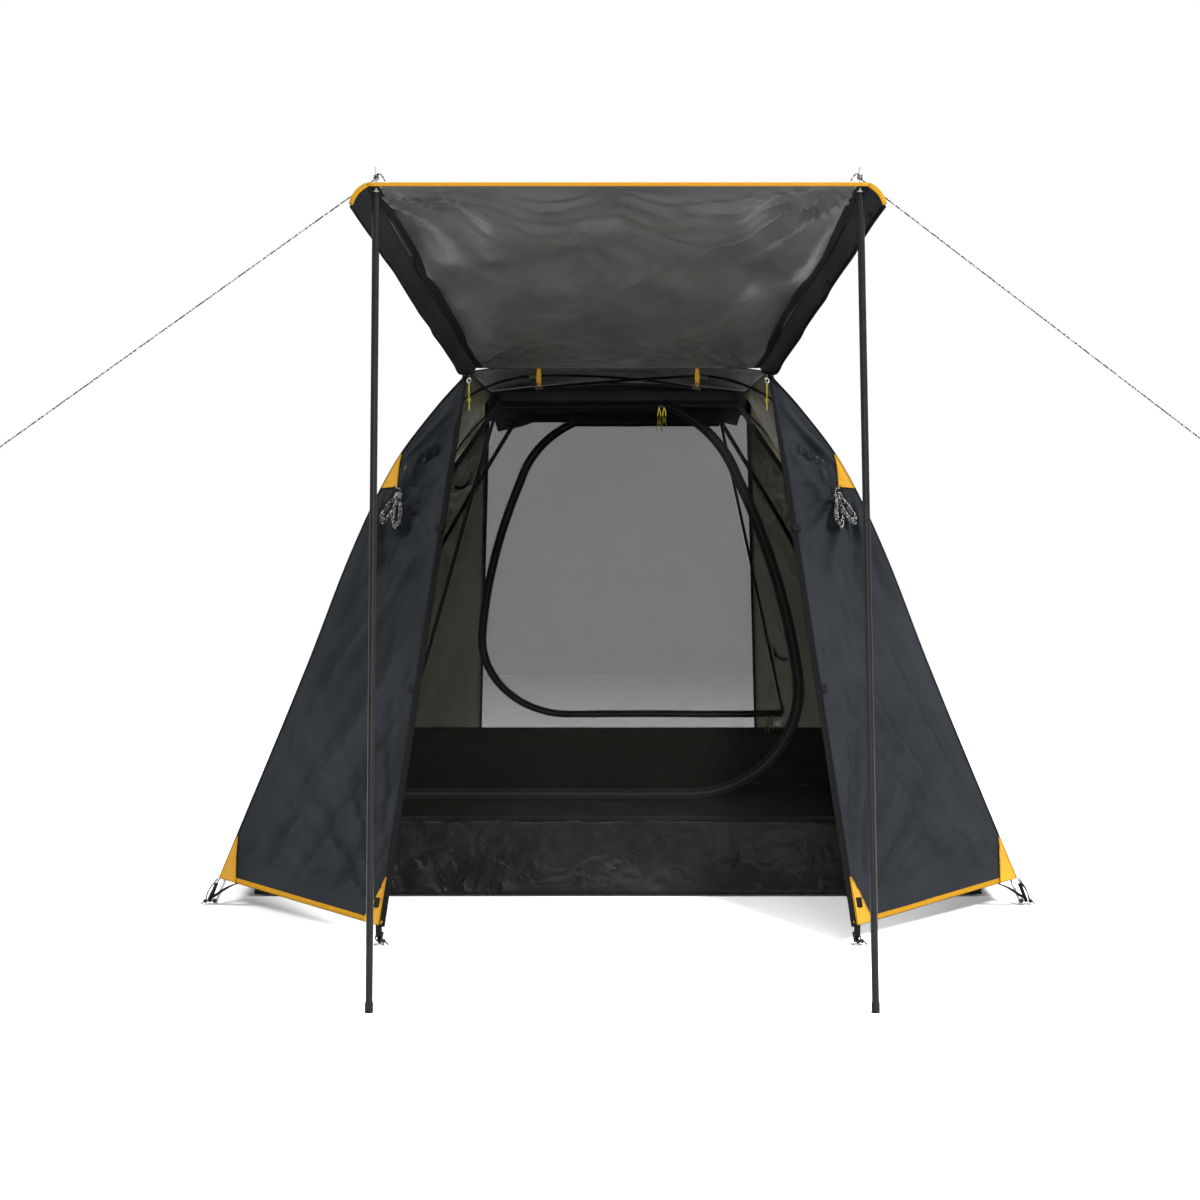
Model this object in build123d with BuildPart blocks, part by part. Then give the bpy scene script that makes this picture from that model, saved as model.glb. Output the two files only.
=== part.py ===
"""Two-door dome tent with the front fly door raised as an awning on two steel uprights.

Units are millimetres. +X is to the right and +Z is up; the raised door points to -Y.
The origin is on the ground, under the middle of the whole outline without its guy lines.
Plan distances below are measured from the middle of the tent floor, which is at Y = MID_Y.
"""
from build123d import *
from math import atan2, cos, hypot, sin, tan
import os

os.makedirs("parts", exist_ok=True)

# ---- driving dimensions ----------------------------------------------------------------
MID_Y = 328.0                 # middle of the floor, behind the origin
CLOTH = 1.0                   # thickness given to fly, mesh and floor cloth
SEAM = 2.5                    # gap left at each sewn edge

CORNER = (1130.0, 1310.0)     # half width and half depth of the pole footprint
# Height and reach of the fly's corner ridges; a reach of 1 is a footprint corner.
RIDGE = [(60, 0.985), (950, 0.703), (1100, 0.660), (1310, 0.566), (1528, 0.420)]

POLE_R = 4.75                 # glass-fibre pole
POLE_FOOT = 1712.0            # diagonal distance of a pole foot from the middle
SHOULDER = (900.0, 1500.0)    # diagonal distance and height where leg and roof lines meet
SHOULDER_R = 900.0
ROOF_AIM = 1558.0             # height over the middle that a shoulder's upper end points at
APEX = {"a": 1545.5, "b": 1534.5}   # pole b passes under pole a
ROOF_GAP = 0.8                 # between a roof section's end and the shoulder, inside the ferrule
TIP_TOP = 72.0

DOOR_TOP = (480.0, 530.0, 1540.0)   # top of a fly doorway edge
DOOR_LOW = (600.0, 1785.0, 40.0)    # its lower end, at the stake corner
ROOF_HALF = (474.0, 537.0)
ROOF_Z = (1530.0, 1563.0)           # roof height at its side edges and along its middle

FLOOR_HALF = (1030.0, 1190.0)
TUB_HALF = (1000.0, 1150.0)         # top of the tub wall
TUB_TOP = 210.0
WAIST_HALF = (735.0, 835.0)         # inner tent half sizes at WAIST_Z and INNER_TOP
WAIST_Z = 850.0
TOP_HALF = (360.0, 535.0)
INNER_TOP = 1460.0
INNER_ROOF_RISE = 30.0

AWNING_BACK = (545.0, 1541.0)       # distance forward of the middle, and height
AWNING_FRONT = (2505.0, 1803.0)
AWNING_HALF = (445.0, 545.0)        # half width at the back and at the front
FLAP_START = 180.0
FLAP_DROP = (32.0, 45.0)            # how far a storm flap hangs outward and down
UPRIGHT = (527.0, 2490.0)           # where the spikes stand through the door's corners
UPRIGHT_FOOT = {"left": 543.0, "right": 562.0}   # the feet stand a little wider apart
UPRIGHT_R = 8.0
UPRIGHT_WALL = 0.8
UPRIGHT_JOINTS = (583.0, 1183.0)
UPRIGHT_TOP = 1788.0
SPIKE_TOP = 1850.0
SPIKE_R = 3.0
GROMMET = (12.0, 7.0, 5.5)          # flange, barrel and hole radius

TOGGLE_X = 250.0
ROLL_R = 38.0
CORD_R = 1.5
GUY_START = (532.0, 1815.0)         # distance from the middle plane, and height
GUY_END = {"left": (1430.0, 1174.0), "right": (1360.0, 1182.0)}

CORNERS = {
    "front_left": (-1, -1),
    "front_right": (1, -1),
    "rear_left": (-1, 1),
    "rear_right": (1, 1),
}


# ---- helpers ---------------------------------------------------------------------------
def at(x, y, z):
    """A point given from the middle of the tent floor."""
    return Vector(x, y + MID_Y, z)


def flat(point):
    return (point.X, point.Y)


def save(builder, name):
    builder.part.label = name
    export_step(builder.part, f"parts/{name}.step")


def reach(z):
    """How far out the fly's corner ridge is at a height, as a share of the footprint."""
    for (low, out), (high, inner) in zip(RIDGE, RIDGE[1:]):
        if z <= high:
            return out + (inner - out) * (z - low) / (high - low)
    return RIDGE[-1][1]


def ridge(side, end, z):
    return Vector(side * CORNER[0] * reach(z), end * CORNER[1] * reach(z), z)


def door_edge(side, end, z):
    share = (DOOR_TOP[2] - z) / (DOOR_TOP[2] - DOOR_LOW[2])
    x = DOOR_TOP[0] + (DOOR_LOW[0] - DOOR_TOP[0]) * share
    y = DOOR_TOP[1] + (DOOR_LOW[1] - DOOR_TOP[1]) * share
    return Vector(side * x, end * y, z)


def on_vestibule(side, end, z, from_ridge=None, from_door=None, out=0.0):
    """A point on a vestibule panel at a height, some way along from one of its edges."""
    start, stop = ridge(side, end, z), door_edge(side, end, z)
    along = (stop - start).normalized()
    outward = Vector(-along.Y, along.X, 0)
    if outward.dot(start) < 0:
        outward = -outward
    base = start + along * from_ridge if from_door is None else stop - along * from_door
    point = base + outward * out
    return at(point.X, point.Y, point.Z)


def level_strip(z, start, stop):
    """A thin level strip of cloth from start to stop, its thickness towards the middle."""
    a, b = Vector(start.X, start.Y), Vector(stop.X, stop.Y)
    along = (b - a).normalized()
    inward = Vector(-along.Y, along.X)
    if inward.dot(a) > 0:
        inward = -inward
    a, b = a + along * SEAM, b - along * SEAM
    corners = [a, b, b + inward * CLOTH, a + inward * CLOTH]
    with BuildSketch(Plane.XY.offset(z)) as strip:
        with BuildLine():
            Polyline(*[(p.X, p.Y + MID_Y) for p in corners], close=True)
        make_face()
    return strip.sketch


def plate(points, thickness):
    """A flat plate on coplanar points, grown to the side that their order faces."""
    plane = Plane(
        origin=points[0],
        x_dir=points[1] - points[0],
        z_dir=(points[1] - points[0]).cross(points[2] - points[0]),
    )
    local = [plane.to_local_coords(p) for p in points]
    with BuildSketch(plane) as outline:
        with BuildLine():
            Polyline(*[(p.X, p.Y) for p in local], close=True)
        make_face()
    extrude(outline.sketch, amount=thickness)


def strap(start, stop, width, thickness):
    """A flat strap between two points, its width level."""
    along = stop - start
    across = Vector(0, 0, 1).cross(along)
    with Locations(Plane(origin=(start + stop) / 2, x_dir=along, z_dir=along.cross(across))):
        Box(along.length, width, thickness)


# ---- crossing poles --------------------------------------------------------------------
def diagonal_plane(side, end):
    """The upright plane through the middle and a corner: its x is plan distance, y height."""
    x_dir = Vector(side * CORNER[0], end * CORNER[1], 0)
    return Plane(origin=at(0, 0, 0), x_dir=x_dir, z_dir=x_dir.cross(Vector(0, 0, 1)))


FOOT_2D = Vector(POLE_FOOT, 0)
SHOULDER_2D = Vector(*SHOULDER)
LEG_DIR = (SHOULDER_2D - FOOT_2D).normalized()
ROOF_DIR = (Vector(0, ROOF_AIM) - SHOULDER_2D).normalized()
TURN = atan2(LEG_DIR.cross(ROOF_DIR).Z, LEG_DIR.dot(ROOF_DIR))
LEG_END = SHOULDER_2D - LEG_DIR * SHOULDER_R * tan(TURN / 2)
BEND_CENTRE = LEG_END + Vector(-LEG_DIR.Y, LEG_DIR.X) * SHOULDER_R
BEND_START = atan2(LEG_END.Y - BEND_CENTRE.Y, LEG_END.X - BEND_CENTRE.X)
TIP_END = FOOT_2D + LEG_DIR * (TIP_TOP / LEG_DIR.Y)


def on_bend(angle):
    """A point on a shoulder, at an angle past the top of its leg."""
    turned = BEND_START + angle
    return (BEND_CENTRE.X + SHOULDER_R * cos(turned), BEND_CENTRE.Y + SHOULDER_R * sin(turned))


def sweep_round(path, radius, hole=0.0):
    with BuildSketch(Plane(origin=path @ 0, z_dir=path % 0)) as section:
        Circle(radius)
        if hole:
            Circle(hole, mode=Mode.SUBTRACT)
    sweep(section.sketch, path=path)


for name, (side, end) in CORNERS.items():
    with BuildPart() as leg:
        with BuildLine(diagonal_plane(side, end)) as path:
            Line(flat(TIP_END), flat(LEG_END))
        sweep_round(path.line, POLE_R)
    save(leg, f"pole_leg_{name}")

with BuildPart() as shoulders:
    for side, end in CORNERS.values():
        with BuildLine(diagonal_plane(side, end)) as path:
            ThreePointArc(on_bend(0), on_bend(TURN / 2), on_bend(TURN))
        sweep_round(path.line, POLE_R)
save(shoulders, "pole_shoulders")

for name, (side, end) in {"a": (-1, -1), "b": (1, -1)}.items():
    with BuildPart() as roof_section:
        with BuildLine(diagonal_plane(side, end)) as path:
            roof_x, roof_z = on_bend(TURN)
            whole = ThreePointArc((-roof_x, roof_z), (0, APEX[name]), (roof_x, roof_z), mode=Mode.PRIVATE)
            short = ROOF_GAP / whole.length
            ThreePointArc(whole @ short, whole @ 0.5, whole @ (1 - short))
        sweep_round(path.line, POLE_R)
    save(roof_section, f"pole_roof_{name}")

FERRULE = (6.3, 5.2, 45.0)   # outer radius, bore radius, length
with BuildPart() as ferrules:
    for side, end in CORNERS.values():
        with BuildLine(diagonal_plane(side, end)) as path:
            Line(flat(LEG_END - LEG_DIR * FERRULE[2]), flat(LEG_END))
        sweep_round(path.line, FERRULE[0], FERRULE[1])
        with BuildLine(diagonal_plane(side, end)) as path:
            sleeve = FERRULE[2] / SHOULDER_R
            ThreePointArc(on_bend(TURN - sleeve), on_bend(TURN - sleeve / 2), on_bend(TURN))
        sweep_round(path.line, FERRULE[0], FERRULE[1])
save(ferrules, "pole_ferrules")

TIP_R = 4.0
TIP_BASE = (6.5, 3.0)        # radius and height of the flat foot under each tip
with BuildPart() as tips:
    for side, end in CORNERS.values():
        plane = diagonal_plane(side, end)
        with BuildLine(plane) as path:
            Line(flat(FOOT_2D + LEG_DIR * TIP_BASE[1]), flat(TIP_END))
        sweep_round(path.line, TIP_R)
        with Locations(plane.from_local_coords(Vector(POLE_FOOT, TIP_BASE[1] / 2))):
            Cylinder(TIP_BASE[0], TIP_BASE[1])
save(tips, "pole_tips")

with BuildPart() as clip:
    with Locations(at(0, 0, APEX["b"] - POLE_R - 5)):
        Box(56, 56, 6)
        fillet(clip.edges().filter_by(Axis.Z), 12)
save(clip, "apex_clip")

# ---- pegging rings, loops and corner straps --------------------------------------------
PEG_RING = (14.0, 10.0, 4.0)   # outer radius, hole radius, height
RING_OUT = 22.0                # from the pole foot out along the diagonal
LOOP_Y = 1826.0


def ring_centre(side, end):
    place = Vector(side * CORNER[0], end * CORNER[1]).normalized() * (POLE_FOOT + RING_OUT)
    return at(place.X, place.Y, 0)


def loop_centre(side, end):
    return at(side * DOOR_LOW[0], end * LOOP_Y, 0)


def peg_ring(centre):
    with BuildSketch(Plane(origin=centre)) as section:
        Circle(PEG_RING[0])
        Circle(PEG_RING[1], mode=Mode.SUBTRACT)
    extrude(section.sketch, amount=PEG_RING[2])


with BuildPart() as rings:
    for side, end in CORNERS.values():
        peg_ring(ring_centre(side, end))
        peg_ring(loop_centre(side, end))
save(rings, "peg_rings")

STRAP = (14.0, 1.6)
with BuildPart() as straps:
    for side, end in CORNERS.values():
        hem = ridge(side, end, 70)
        out = Vector(side * CORNER[0], end * CORNER[1]).normalized()
        top = at(hem.X, hem.Y, 0) + out * 9 + Vector(0, 0, 58)
        low = ring_centre(side, end) - out * 2 + Vector(0, 0, 9)
        strap(top, low, *STRAP)
        edge = door_edge(side, end, 40)
        top = at(edge.X, edge.Y + end * 4, 27)
        low = loop_centre(side, end) - Vector(0, end * 8, -8)
        strap(top, low, *STRAP)
save(straps, "pegging_straps")

# ---- fly sheet -------------------------------------------------------------------------
VESTIBULE_LEVELS = (45, 500, 950, 1100, 1310, 1490)
for name, (side, end) in CORNERS.items():
    with BuildPart() as vestibule:
        loft(
            [level_strip(z, ridge(side, end, z), door_edge(side, end, z)) for z in VESTIBULE_LEVELS],
            ruled=True,
        )
    save(vestibule, f"fly_vestibule_{name}")

for name, side in {"left": -1, "right": 1}.items():
    with BuildPart() as fly_side:
        loft([level_strip(z, ridge(side, -1, z), ridge(side, 1, z)) for z, _ in RIDGE], ruled=True)
    save(fly_side, f"fly_side_{name}")


def arched_roof(half_width, half_depth, low, high):
    """A thin roof sheet, arched across and straight from front to back."""
    with BuildSketch(Plane(origin=at(0, 0, 0), x_dir=(1, 0, 0), z_dir=(0, -1, 0))) as section:
        with BuildLine():
            ThreePointArc((-half_width, low), (0, high), (half_width, low))
            Line((half_width, low), (half_width, low - CLOTH))
            ThreePointArc((half_width, low - CLOTH), (0, high - CLOTH), (-half_width, low - CLOTH))
            Line((-half_width, low - CLOTH), (-half_width, low))
        make_face()
    extrude(section.sketch, amount=half_depth, both=True)


with BuildPart() as fly_roof:
    arched_roof(*ROOF_HALF, *ROOF_Z)
save(fly_roof, "fly_roof")

# Raised front door. Local x is across, local y runs forward, the cloth grows downward.
AWNING_RUN = Vector(0, AWNING_BACK[0] - AWNING_FRONT[0], AWNING_FRONT[1] - AWNING_BACK[1])
AWNING_LENGTH = AWNING_RUN.length
AWNING_DIR = AWNING_RUN.normalized()
AWNING_PLANE = Plane(
    origin=at(0, -AWNING_BACK[0], AWNING_BACK[1]),
    x_dir=(1, 0, 0),
    z_dir=Vector(1, 0, 0).cross(AWNING_DIR),
)
GROMMET_V = (UPRIGHT[1] - AWNING_BACK[0]) / -AWNING_DIR.Y


def awning_half(v):
    return AWNING_HALF[0] + (AWNING_HALF[1] - AWNING_HALF[0]) * v / AWNING_LENGTH


with BuildPart() as awning:
    with BuildSketch(AWNING_PLANE):
        with BuildLine():
            Polyline(
                (-AWNING_HALF[0], 0),
                (AWNING_HALF[0], 0),
                (AWNING_HALF[1], AWNING_LENGTH),
                (-AWNING_HALF[1], AWNING_LENGTH),
                close=True,
            )
        make_face()
        with Locations((-UPRIGHT[0], GROMMET_V), (UPRIGHT[0], GROMMET_V)):
            Circle(GROMMET[1], mode=Mode.SUBTRACT)
    extrude(amount=CLOTH)
save(awning, "awning_panel")

BINDING = (5.0, 4.0)          # depth and thickness of the front edge binding
with BuildPart() as binding:
    with BuildSketch(AWNING_PLANE.offset(CLOTH / 2 - BINDING[1] / 2)):
        with Locations((0, AWNING_LENGTH + BINDING[0] / 2 + 0.5)):
            Rectangle(2 * AWNING_HALF[1], BINDING[0])
    extrude(amount=BINDING[1])
save(binding, "awning_binding")

with BuildPart() as flaps:
    for side in (-1, 1):
        edge = []
        for v in (FLAP_START, AWNING_LENGTH):
            on_plane = AWNING_PLANE.from_local_coords(Vector(side * (awning_half(v) + 2), v, 2))
            edge.append(on_plane)
        hang = Vector(side * FLAP_DROP[0], 0, -FLAP_DROP[1])
        plate([edge[0], edge[1], edge[1] + hang, edge[0] + hang], CLOTH)
save(flaps, "awning_flaps")

FLANGE = 1.0
with BuildPart() as grommets:
    for side in (-1, 1):
        for level, outer, height in (
            (-FLANGE, GROMMET[0], FLANGE),
            (0, GROMMET[1], CLOTH),
            (CLOTH, GROMMET[0], FLANGE),
        ):
            with BuildSketch(AWNING_PLANE.offset(level)):
                with Locations((side * UPRIGHT[0], GROMMET_V)):
                    Circle(outer)
                    Circle(GROMMET[2], mode=Mode.SUBTRACT)
            extrude(amount=height)
save(grommets, "awning_grommets")

# Rear door, rolled up and tied under the rear edge of the roof.
ROLL_Y = 612.0
ROLL_LINE = [(-440, 1428), (-255, 1490), (255, 1490), (440, 1428)]
with BuildPart() as roll:
    with BuildLine(Plane(origin=at(0, ROLL_Y, 0), x_dir=(1, 0, 0), z_dir=(0, -1, 0))) as path:
        FilletPolyline(*ROLL_LINE, radius=160)
    sweep_round(path.line, ROLL_R)
save(roll, "rear_door_roll")

# Trim: hem bindings under every lower edge, and patches just outside the panels.
HEM = (4.0, 12.0)
with BuildPart() as hems:
    for side, end in CORNERS.values():
        a, b = ridge(side, end, 60), door_edge(side, end, 45)
        start, stop = at(a.X, a.Y, 37), at(b.X, b.Y, 37)
        along = (stop - start).normalized()
        strap(start + along * 12, stop - along * 12, *HEM)
    for side in (-1, 1):
        a, b = ridge(side, -1, 60), ridge(side, 1, 60)
        strap(at(a.X, a.Y + 12, 52), at(b.X, b.Y - 12, 52), *HEM)
save(hems, "hem_binding")

PATCH_OUT = 3.0
PATCH = 1.0


def patches(name, outline):
    """Four cloth patches, one on each vestibule; outline gives each one's three points."""
    with BuildPart() as group:
        for side, end in CORNERS.values():
            points = outline(side, end)
            if (points[1] - points[0]).cross(points[2] - points[0]).Y * end < 0:
                points.reverse()
            plate(points, PATCH)
    save(group, name)


patches("corner_patches", lambda side, end: [
    on_vestibule(side, end, 175, from_ridge=6, out=PATCH_OUT),
    on_vestibule(side, end, 64, from_ridge=4, out=PATCH_OUT),
    on_vestibule(side, end, 64, from_ridge=80, out=PATCH_OUT),
])
patches("stake_patches", lambda side, end: [
    on_vestibule(side, end, 155, from_door=4, out=PATCH_OUT),
    on_vestibule(side, end, 50, from_door=4, out=PATCH_OUT),
    on_vestibule(side, end, 50, from_door=66, out=PATCH_OUT),
])
patches("guy_patches", lambda side, end: [
    on_vestibule(side, end, 1262, from_ridge=4, out=PATCH_OUT),
    on_vestibule(side, end, 1156, from_ridge=4, out=PATCH_OUT),
    on_vestibule(side, end, 1156, from_ridge=66, out=PATCH_OUT),
])

# Door zip sliders with their cord pulls, parked at the top of the doorway edges.
SLIDER_Z = 1500.0
SLIDER_IN = 15.0              # from the doorway edge towards the middle
SLIDER_BOX = (18.0, 9.0, 7.0)
PULL = (2.0, 92.0)
for name, side in {"left": -1, "right": 1}.items():
    top, low = door_edge(side, -1, SLIDER_Z), door_edge(side, -1, 100)
    centre = at(top.X - side * SLIDER_IN, top.Y, SLIDER_Z)
    with BuildPart() as slider:
        with Locations(Plane(origin=centre, x_dir=low - top, z_dir=(0, 1, -0.8367))):
            Box(*SLIDER_BOX)
        with Locations(centre - Vector(0, 0, PULL[1] / 2)):
            Cylinder(PULL[0], PULL[1])
    save(slider, f"zip_slider_{name}")

# Tie toggles that hang under the front edge of the roof.
TOGGLE = (18.0, 3.0, 66.0)
TOGGLE_TOP = 1547.0
TOGGLE_Y = 533.0
for name, side in {"left": -1, "right": 1}.items():
    with BuildPart() as toggle:
        with Locations(at(side * TOGGLE_X, -TOGGLE_Y, TOGGLE_TOP - TOGGLE[2] / 2)):
            Box(*TOGGLE)
        fillet(toggle.edges().filter_by(Axis.Y), 7)
    save(toggle, f"tie_toggle_{name}")

# ---- awning uprights -------------------------------------------------------------------
SPIGOT = (7.1, 6.3, 45.0)     # outer radius, inner radius, length into each neighbour
FOOT_PAD = (9.2, 22.0, 4.0)   # radius, height, thickness under the tube


def tube(stand, low, high, outer, inner=0.0):
    """A round piece on an upright's own plane, between two heights up it."""
    with BuildSketch(stand.offset(low)) as section:
        Circle(outer)
        if inner:
            Circle(inner, mode=Mode.SUBTRACT)
    extrude(section.sketch, amount=high - low)


for name, side in {"left": -1, "right": 1}.items():
    foot_point = at(side * UPRIGHT_FOOT[name], -UPRIGHT[1], 0.2)
    forward = Vector(0, -1, 0)
    up = (at(side * UPRIGHT[0], -UPRIGHT[1], SPIKE_TOP) - foot_point).normalized()
    stand = Plane(origin=foot_point, x_dir=forward, z_dir=up)
    levels = (FOOT_PAD[2], *UPRIGHT_JOINTS, UPRIGHT_TOP)
    for piece, low, high in zip(("lower", "middle", "upper"), levels, levels[1:]):
        with BuildPart() as section:
            tube(stand, low, high, UPRIGHT_R, UPRIGHT_R - UPRIGHT_WALL)
            if piece != "upper":
                tube(stand, high - SPIGOT[2], high, UPRIGHT_R - UPRIGHT_WALL, SPIGOT[1])
                tube(stand, high, high + SPIGOT[2], SPIGOT[0], SPIGOT[1])
        save(section, f"upright_{name}_{piece}")
    with BuildPart() as pad:
        tube(stand, 0, FOOT_PAD[2], FOOT_PAD[0])
        tube(stand, FOOT_PAD[2], FOOT_PAD[1], FOOT_PAD[0], UPRIGHT_R)
    save(pad, f"upright_{name}_foot")
    with BuildPart() as spike:
        with BuildSketch(Plane(origin=foot_point, x_dir=forward, z_dir=forward.cross(up))):
            with BuildLine():
                plug = UPRIGHT_R - UPRIGHT_WALL
                Polyline(
                    (0, UPRIGHT_TOP - 28),
                    (plug, UPRIGHT_TOP - 28),
                    (plug, UPRIGHT_TOP),
                    (UPRIGHT_R, UPRIGHT_TOP),
                    (UPRIGHT_R, UPRIGHT_TOP + 3),
                    (SPIKE_R, UPRIGHT_TOP + 5),
                    (SPIKE_R, SPIKE_TOP - 6),
                    (1, SPIKE_TOP),
                    (0, SPIKE_TOP),
                    close=True,
                )
            make_face()
        revolve(axis=Axis(foot_point, up))
    save(spike, f"upright_{name}_spike")

# ---- inner tent ------------------------------------------------------------------------
FLOOR_CLOTH = 2.0
with BuildPart() as tub_floor:
    with Locations(at(0, 0, FLOOR_CLOTH / 2)):
        Box(2 * FLOOR_HALF[0], 2 * FLOOR_HALF[1], FLOOR_CLOTH)
save(tub_floor, "tub_floor")


def side_wall(side, rows):
    """A left or right wall through (height, half width, half depth) rows."""
    loft(
        [level_strip(z, Vector(side * w, -d), Vector(side * w, d)) for z, w, d in rows],
        ruled=True,
    )


def end_wall_rows(end, rows):
    """A front or rear wall through the same kind of rows."""
    loft(
        [level_strip(z, Vector(-w, end * d), Vector(w, end * d)) for z, w, d in rows],
        ruled=True,
    )


TUB_ROWS = [(FLOOR_CLOTH + 0.5, *FLOOR_HALF), (TUB_TOP - SEAM, *TUB_HALF)]
with BuildPart() as tub_walls:
    for side in (-1, 1):
        side_wall(side, TUB_ROWS)
    for end in (-1, 1):
        end_wall_rows(end, TUB_ROWS)
save(tub_walls, "tub_walls")

# End walls are flat. On their plane x is across, seen from outside, and y is up the slope.
WALL_RISE, WALL_RUN = INNER_TOP - TUB_TOP, TUB_HALF[1] - TOP_HALF[1]
WALL_LENGTH = hypot(WALL_RISE, WALL_RUN)
WAIST_V = (WAIST_Z - TUB_TOP) * WALL_LENGTH / WALL_RISE
DOOR_GAP = 3.0
HINGE_LOW, HINGE_HIGH = (-655.0, 75.0), (-376.0, 1345.0)


def end_wall_plane(end):
    return Plane(
        origin=at(0, end * TUB_HALF[1], TUB_TOP),
        x_dir=(-end, 0, 0),
        z_dir=(0, end * WALL_RISE, WALL_RUN),
    )


def door_outline():
    """The D: a sewn hinge seam on the left, and a zip round the other three sides."""
    with BuildLine() as outline:
        Line(HINGE_LOW, (240, 80))
        ThreePointArc((240, 80), (455, 200), (530, 440))
        ThreePointArc((530, 440), (492, 690), (365, 1106))
        ThreePointArc((365, 1106), (290, 1244), (160, 1345))
        Line((160, 1345), HINGE_HIGH)
        Line(HINGE_HIGH, HINGE_LOW)
    return outline.edges()


for name, end in {"front": -1, "rear": 1}.items():
    plane = end_wall_plane(end)
    with BuildPart() as end_wall:
        with BuildSketch(plane):
            with BuildLine():
                Polyline(
                    (-TUB_HALF[0] + SEAM, SEAM),
                    (TUB_HALF[0] - SEAM, SEAM),
                    (WAIST_HALF[0] - SEAM, WAIST_V),
                    (TOP_HALF[0] - SEAM, WALL_LENGTH - SEAM),
                    (SEAM - TOP_HALF[0], WALL_LENGTH - SEAM),
                    (SEAM - WAIST_HALF[0], WAIST_V),
                    close=True,
                )
            make_face()
            make_face(door_outline(), mode=Mode.SUBTRACT)
        extrude(amount=-CLOTH)
    save(end_wall, f"inner_wall_{name}")
    with BuildPart() as door:
        with BuildSketch(plane):
            make_face(door_outline())
            offset(amount=-DOOR_GAP, mode=Mode.REPLACE)
        extrude(amount=-CLOTH)
    save(door, f"inner_door_{name}")

INNER_ROWS = [
    (TUB_TOP, *TUB_HALF),
    (WAIST_Z, *WAIST_HALF),
    (INNER_TOP, *TOP_HALF),
]
for name, side in {"left": -1, "right": 1}.items():
    with BuildPart() as inner_side:
        side_wall(side, INNER_ROWS)
    save(inner_side, f"inner_wall_{name}")

with BuildPart() as inner_roof:
    arched_roof(
        TOP_HALF[0] - SEAM, TOP_HALF[1] - SEAM, INNER_TOP + SEAM, INNER_TOP + INNER_ROOF_RISE
    )
save(inner_roof, "inner_roof")

CLIP_LEVELS = (500.0, 850.0)
with BuildPart() as clips:
    for side, end in CORNERS.values():
        plane = diagonal_plane(side, end)
        for z in CLIP_LEVELS:
            on_leg = FOOT_2D + LEG_DIR * (z / LEG_DIR.Y)
            pole = plane.from_local_coords(on_leg)
            share = (z - TUB_TOP) / (WAIST_Z - TUB_TOP)
            seam_x = TUB_HALF[0] + (WAIST_HALF[0] - TUB_HALF[0]) * share
            seam_y = TUB_HALF[1] + (WAIST_HALF[1] - TUB_HALF[1]) * share
            seam = at(side * seam_x, end * seam_y, z)
            along = (pole - seam).normalized()
            strap(seam + along * 6, pole - along * 7, 12, 2)
save(clips, "pole_clips")

# ---- guy lines -------------------------------------------------------------------------
RUNNER = (32.0, 12.0, 6.0)
RUNNER_BORE = 1.9
RUNNER_BACK = 45.0            # from the end knot to the middle of the runner
END_LOOP = (13.0, 1.5)
KNOT_R = 4.0
for name, side in {"left": -1, "right": 1}.items():
    start = at(side * GUY_START[0], -UPRIGHT[1], GUY_START[1])
    stop = at(side * GUY_END[name][0], -UPRIGHT[1], GUY_END[name][1])
    run = (stop - start).normalized()
    with BuildPart() as line:
        with BuildSketch(Plane(origin=start, z_dir=run)):
            Circle(CORD_R)
        extrude(amount=(stop - start).length)
    save(line, f"guy_line_{name}")
    print(f"guy_line_{name}: one straight run of {(stop - start).length:.0f} mm")
    with BuildPart() as knot:
        with Locations(stop + run * (KNOT_R - 0.8)):
            Sphere(KNOT_R)
        with Locations(Plane(origin=stop + run * (KNOT_R + END_LOOP[0]), x_dir=run, z_dir=(0, -1, 0))):
            Torus(*END_LOOP)
        with BuildSketch(Plane(origin=stop - run, z_dir=run)):
            Circle(CORD_R)
        extrude(amount=1, mode=Mode.SUBTRACT)
    save(knot, f"guy_end_{name}")
    with BuildPart() as runner:
        middle = stop - run * RUNNER_BACK
        with BuildSketch(Plane(origin=middle, x_dir=run, z_dir=(0, -1, 0))):
            RectangleRounded(RUNNER[0], RUNNER[1], 4)
        extrude(amount=RUNNER[2] / 2, both=True)
        with BuildSketch(Plane(origin=middle - run * RUNNER[0], z_dir=run)):
            Circle(RUNNER_BORE)
        extrude(amount=2 * RUNNER[0], mode=Mode.SUBTRACT)
    save(runner, f"guy_runner_{name}")

# Wound guy cords hanging from the two front guy patches.
HANK = (80.0, 116.0, 20.0)    # across, along and through
HANK_Z = 1092.0
HANK_IN = 62.0                # from the ridge towards the doorway
for name, side in {"left": -1, "right": 1}.items():
    high = on_vestibule(side, -1, HANK_Z + 40, from_ridge=HANK_IN, out=8)
    low = on_vestibule(side, -1, HANK_Z - 40, from_ridge=HANK_IN, out=8)
    inner = on_vestibule(side, -1, HANK_Z, from_ridge=HANK_IN + 40, out=8)
    across = inner - (high + low) / 2
    outward = (low - high).cross(across).normalized() * -side
    middle = (high + low) / 2 + outward * (HANK[2] / 2)
    with BuildPart() as hank:
        with BuildSketch(Plane(origin=middle, x_dir=across, z_dir=outward)):
            RectangleRounded(HANK[0], HANK[1], 30)
        extrude(amount=HANK[2] / 2, both=True)
        flat_faces = hank.faces().sort_by(SortBy.AREA)[-2:]
        fillet(flat_faces.edges(), 2)
    save(hank, f"guy_hank_{name}")
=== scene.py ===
"""Looks for the two-door dome tent: cloth, netting, tapes, cords, metal, light and camera."""
import math

import bpy
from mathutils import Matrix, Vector, noise


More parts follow.
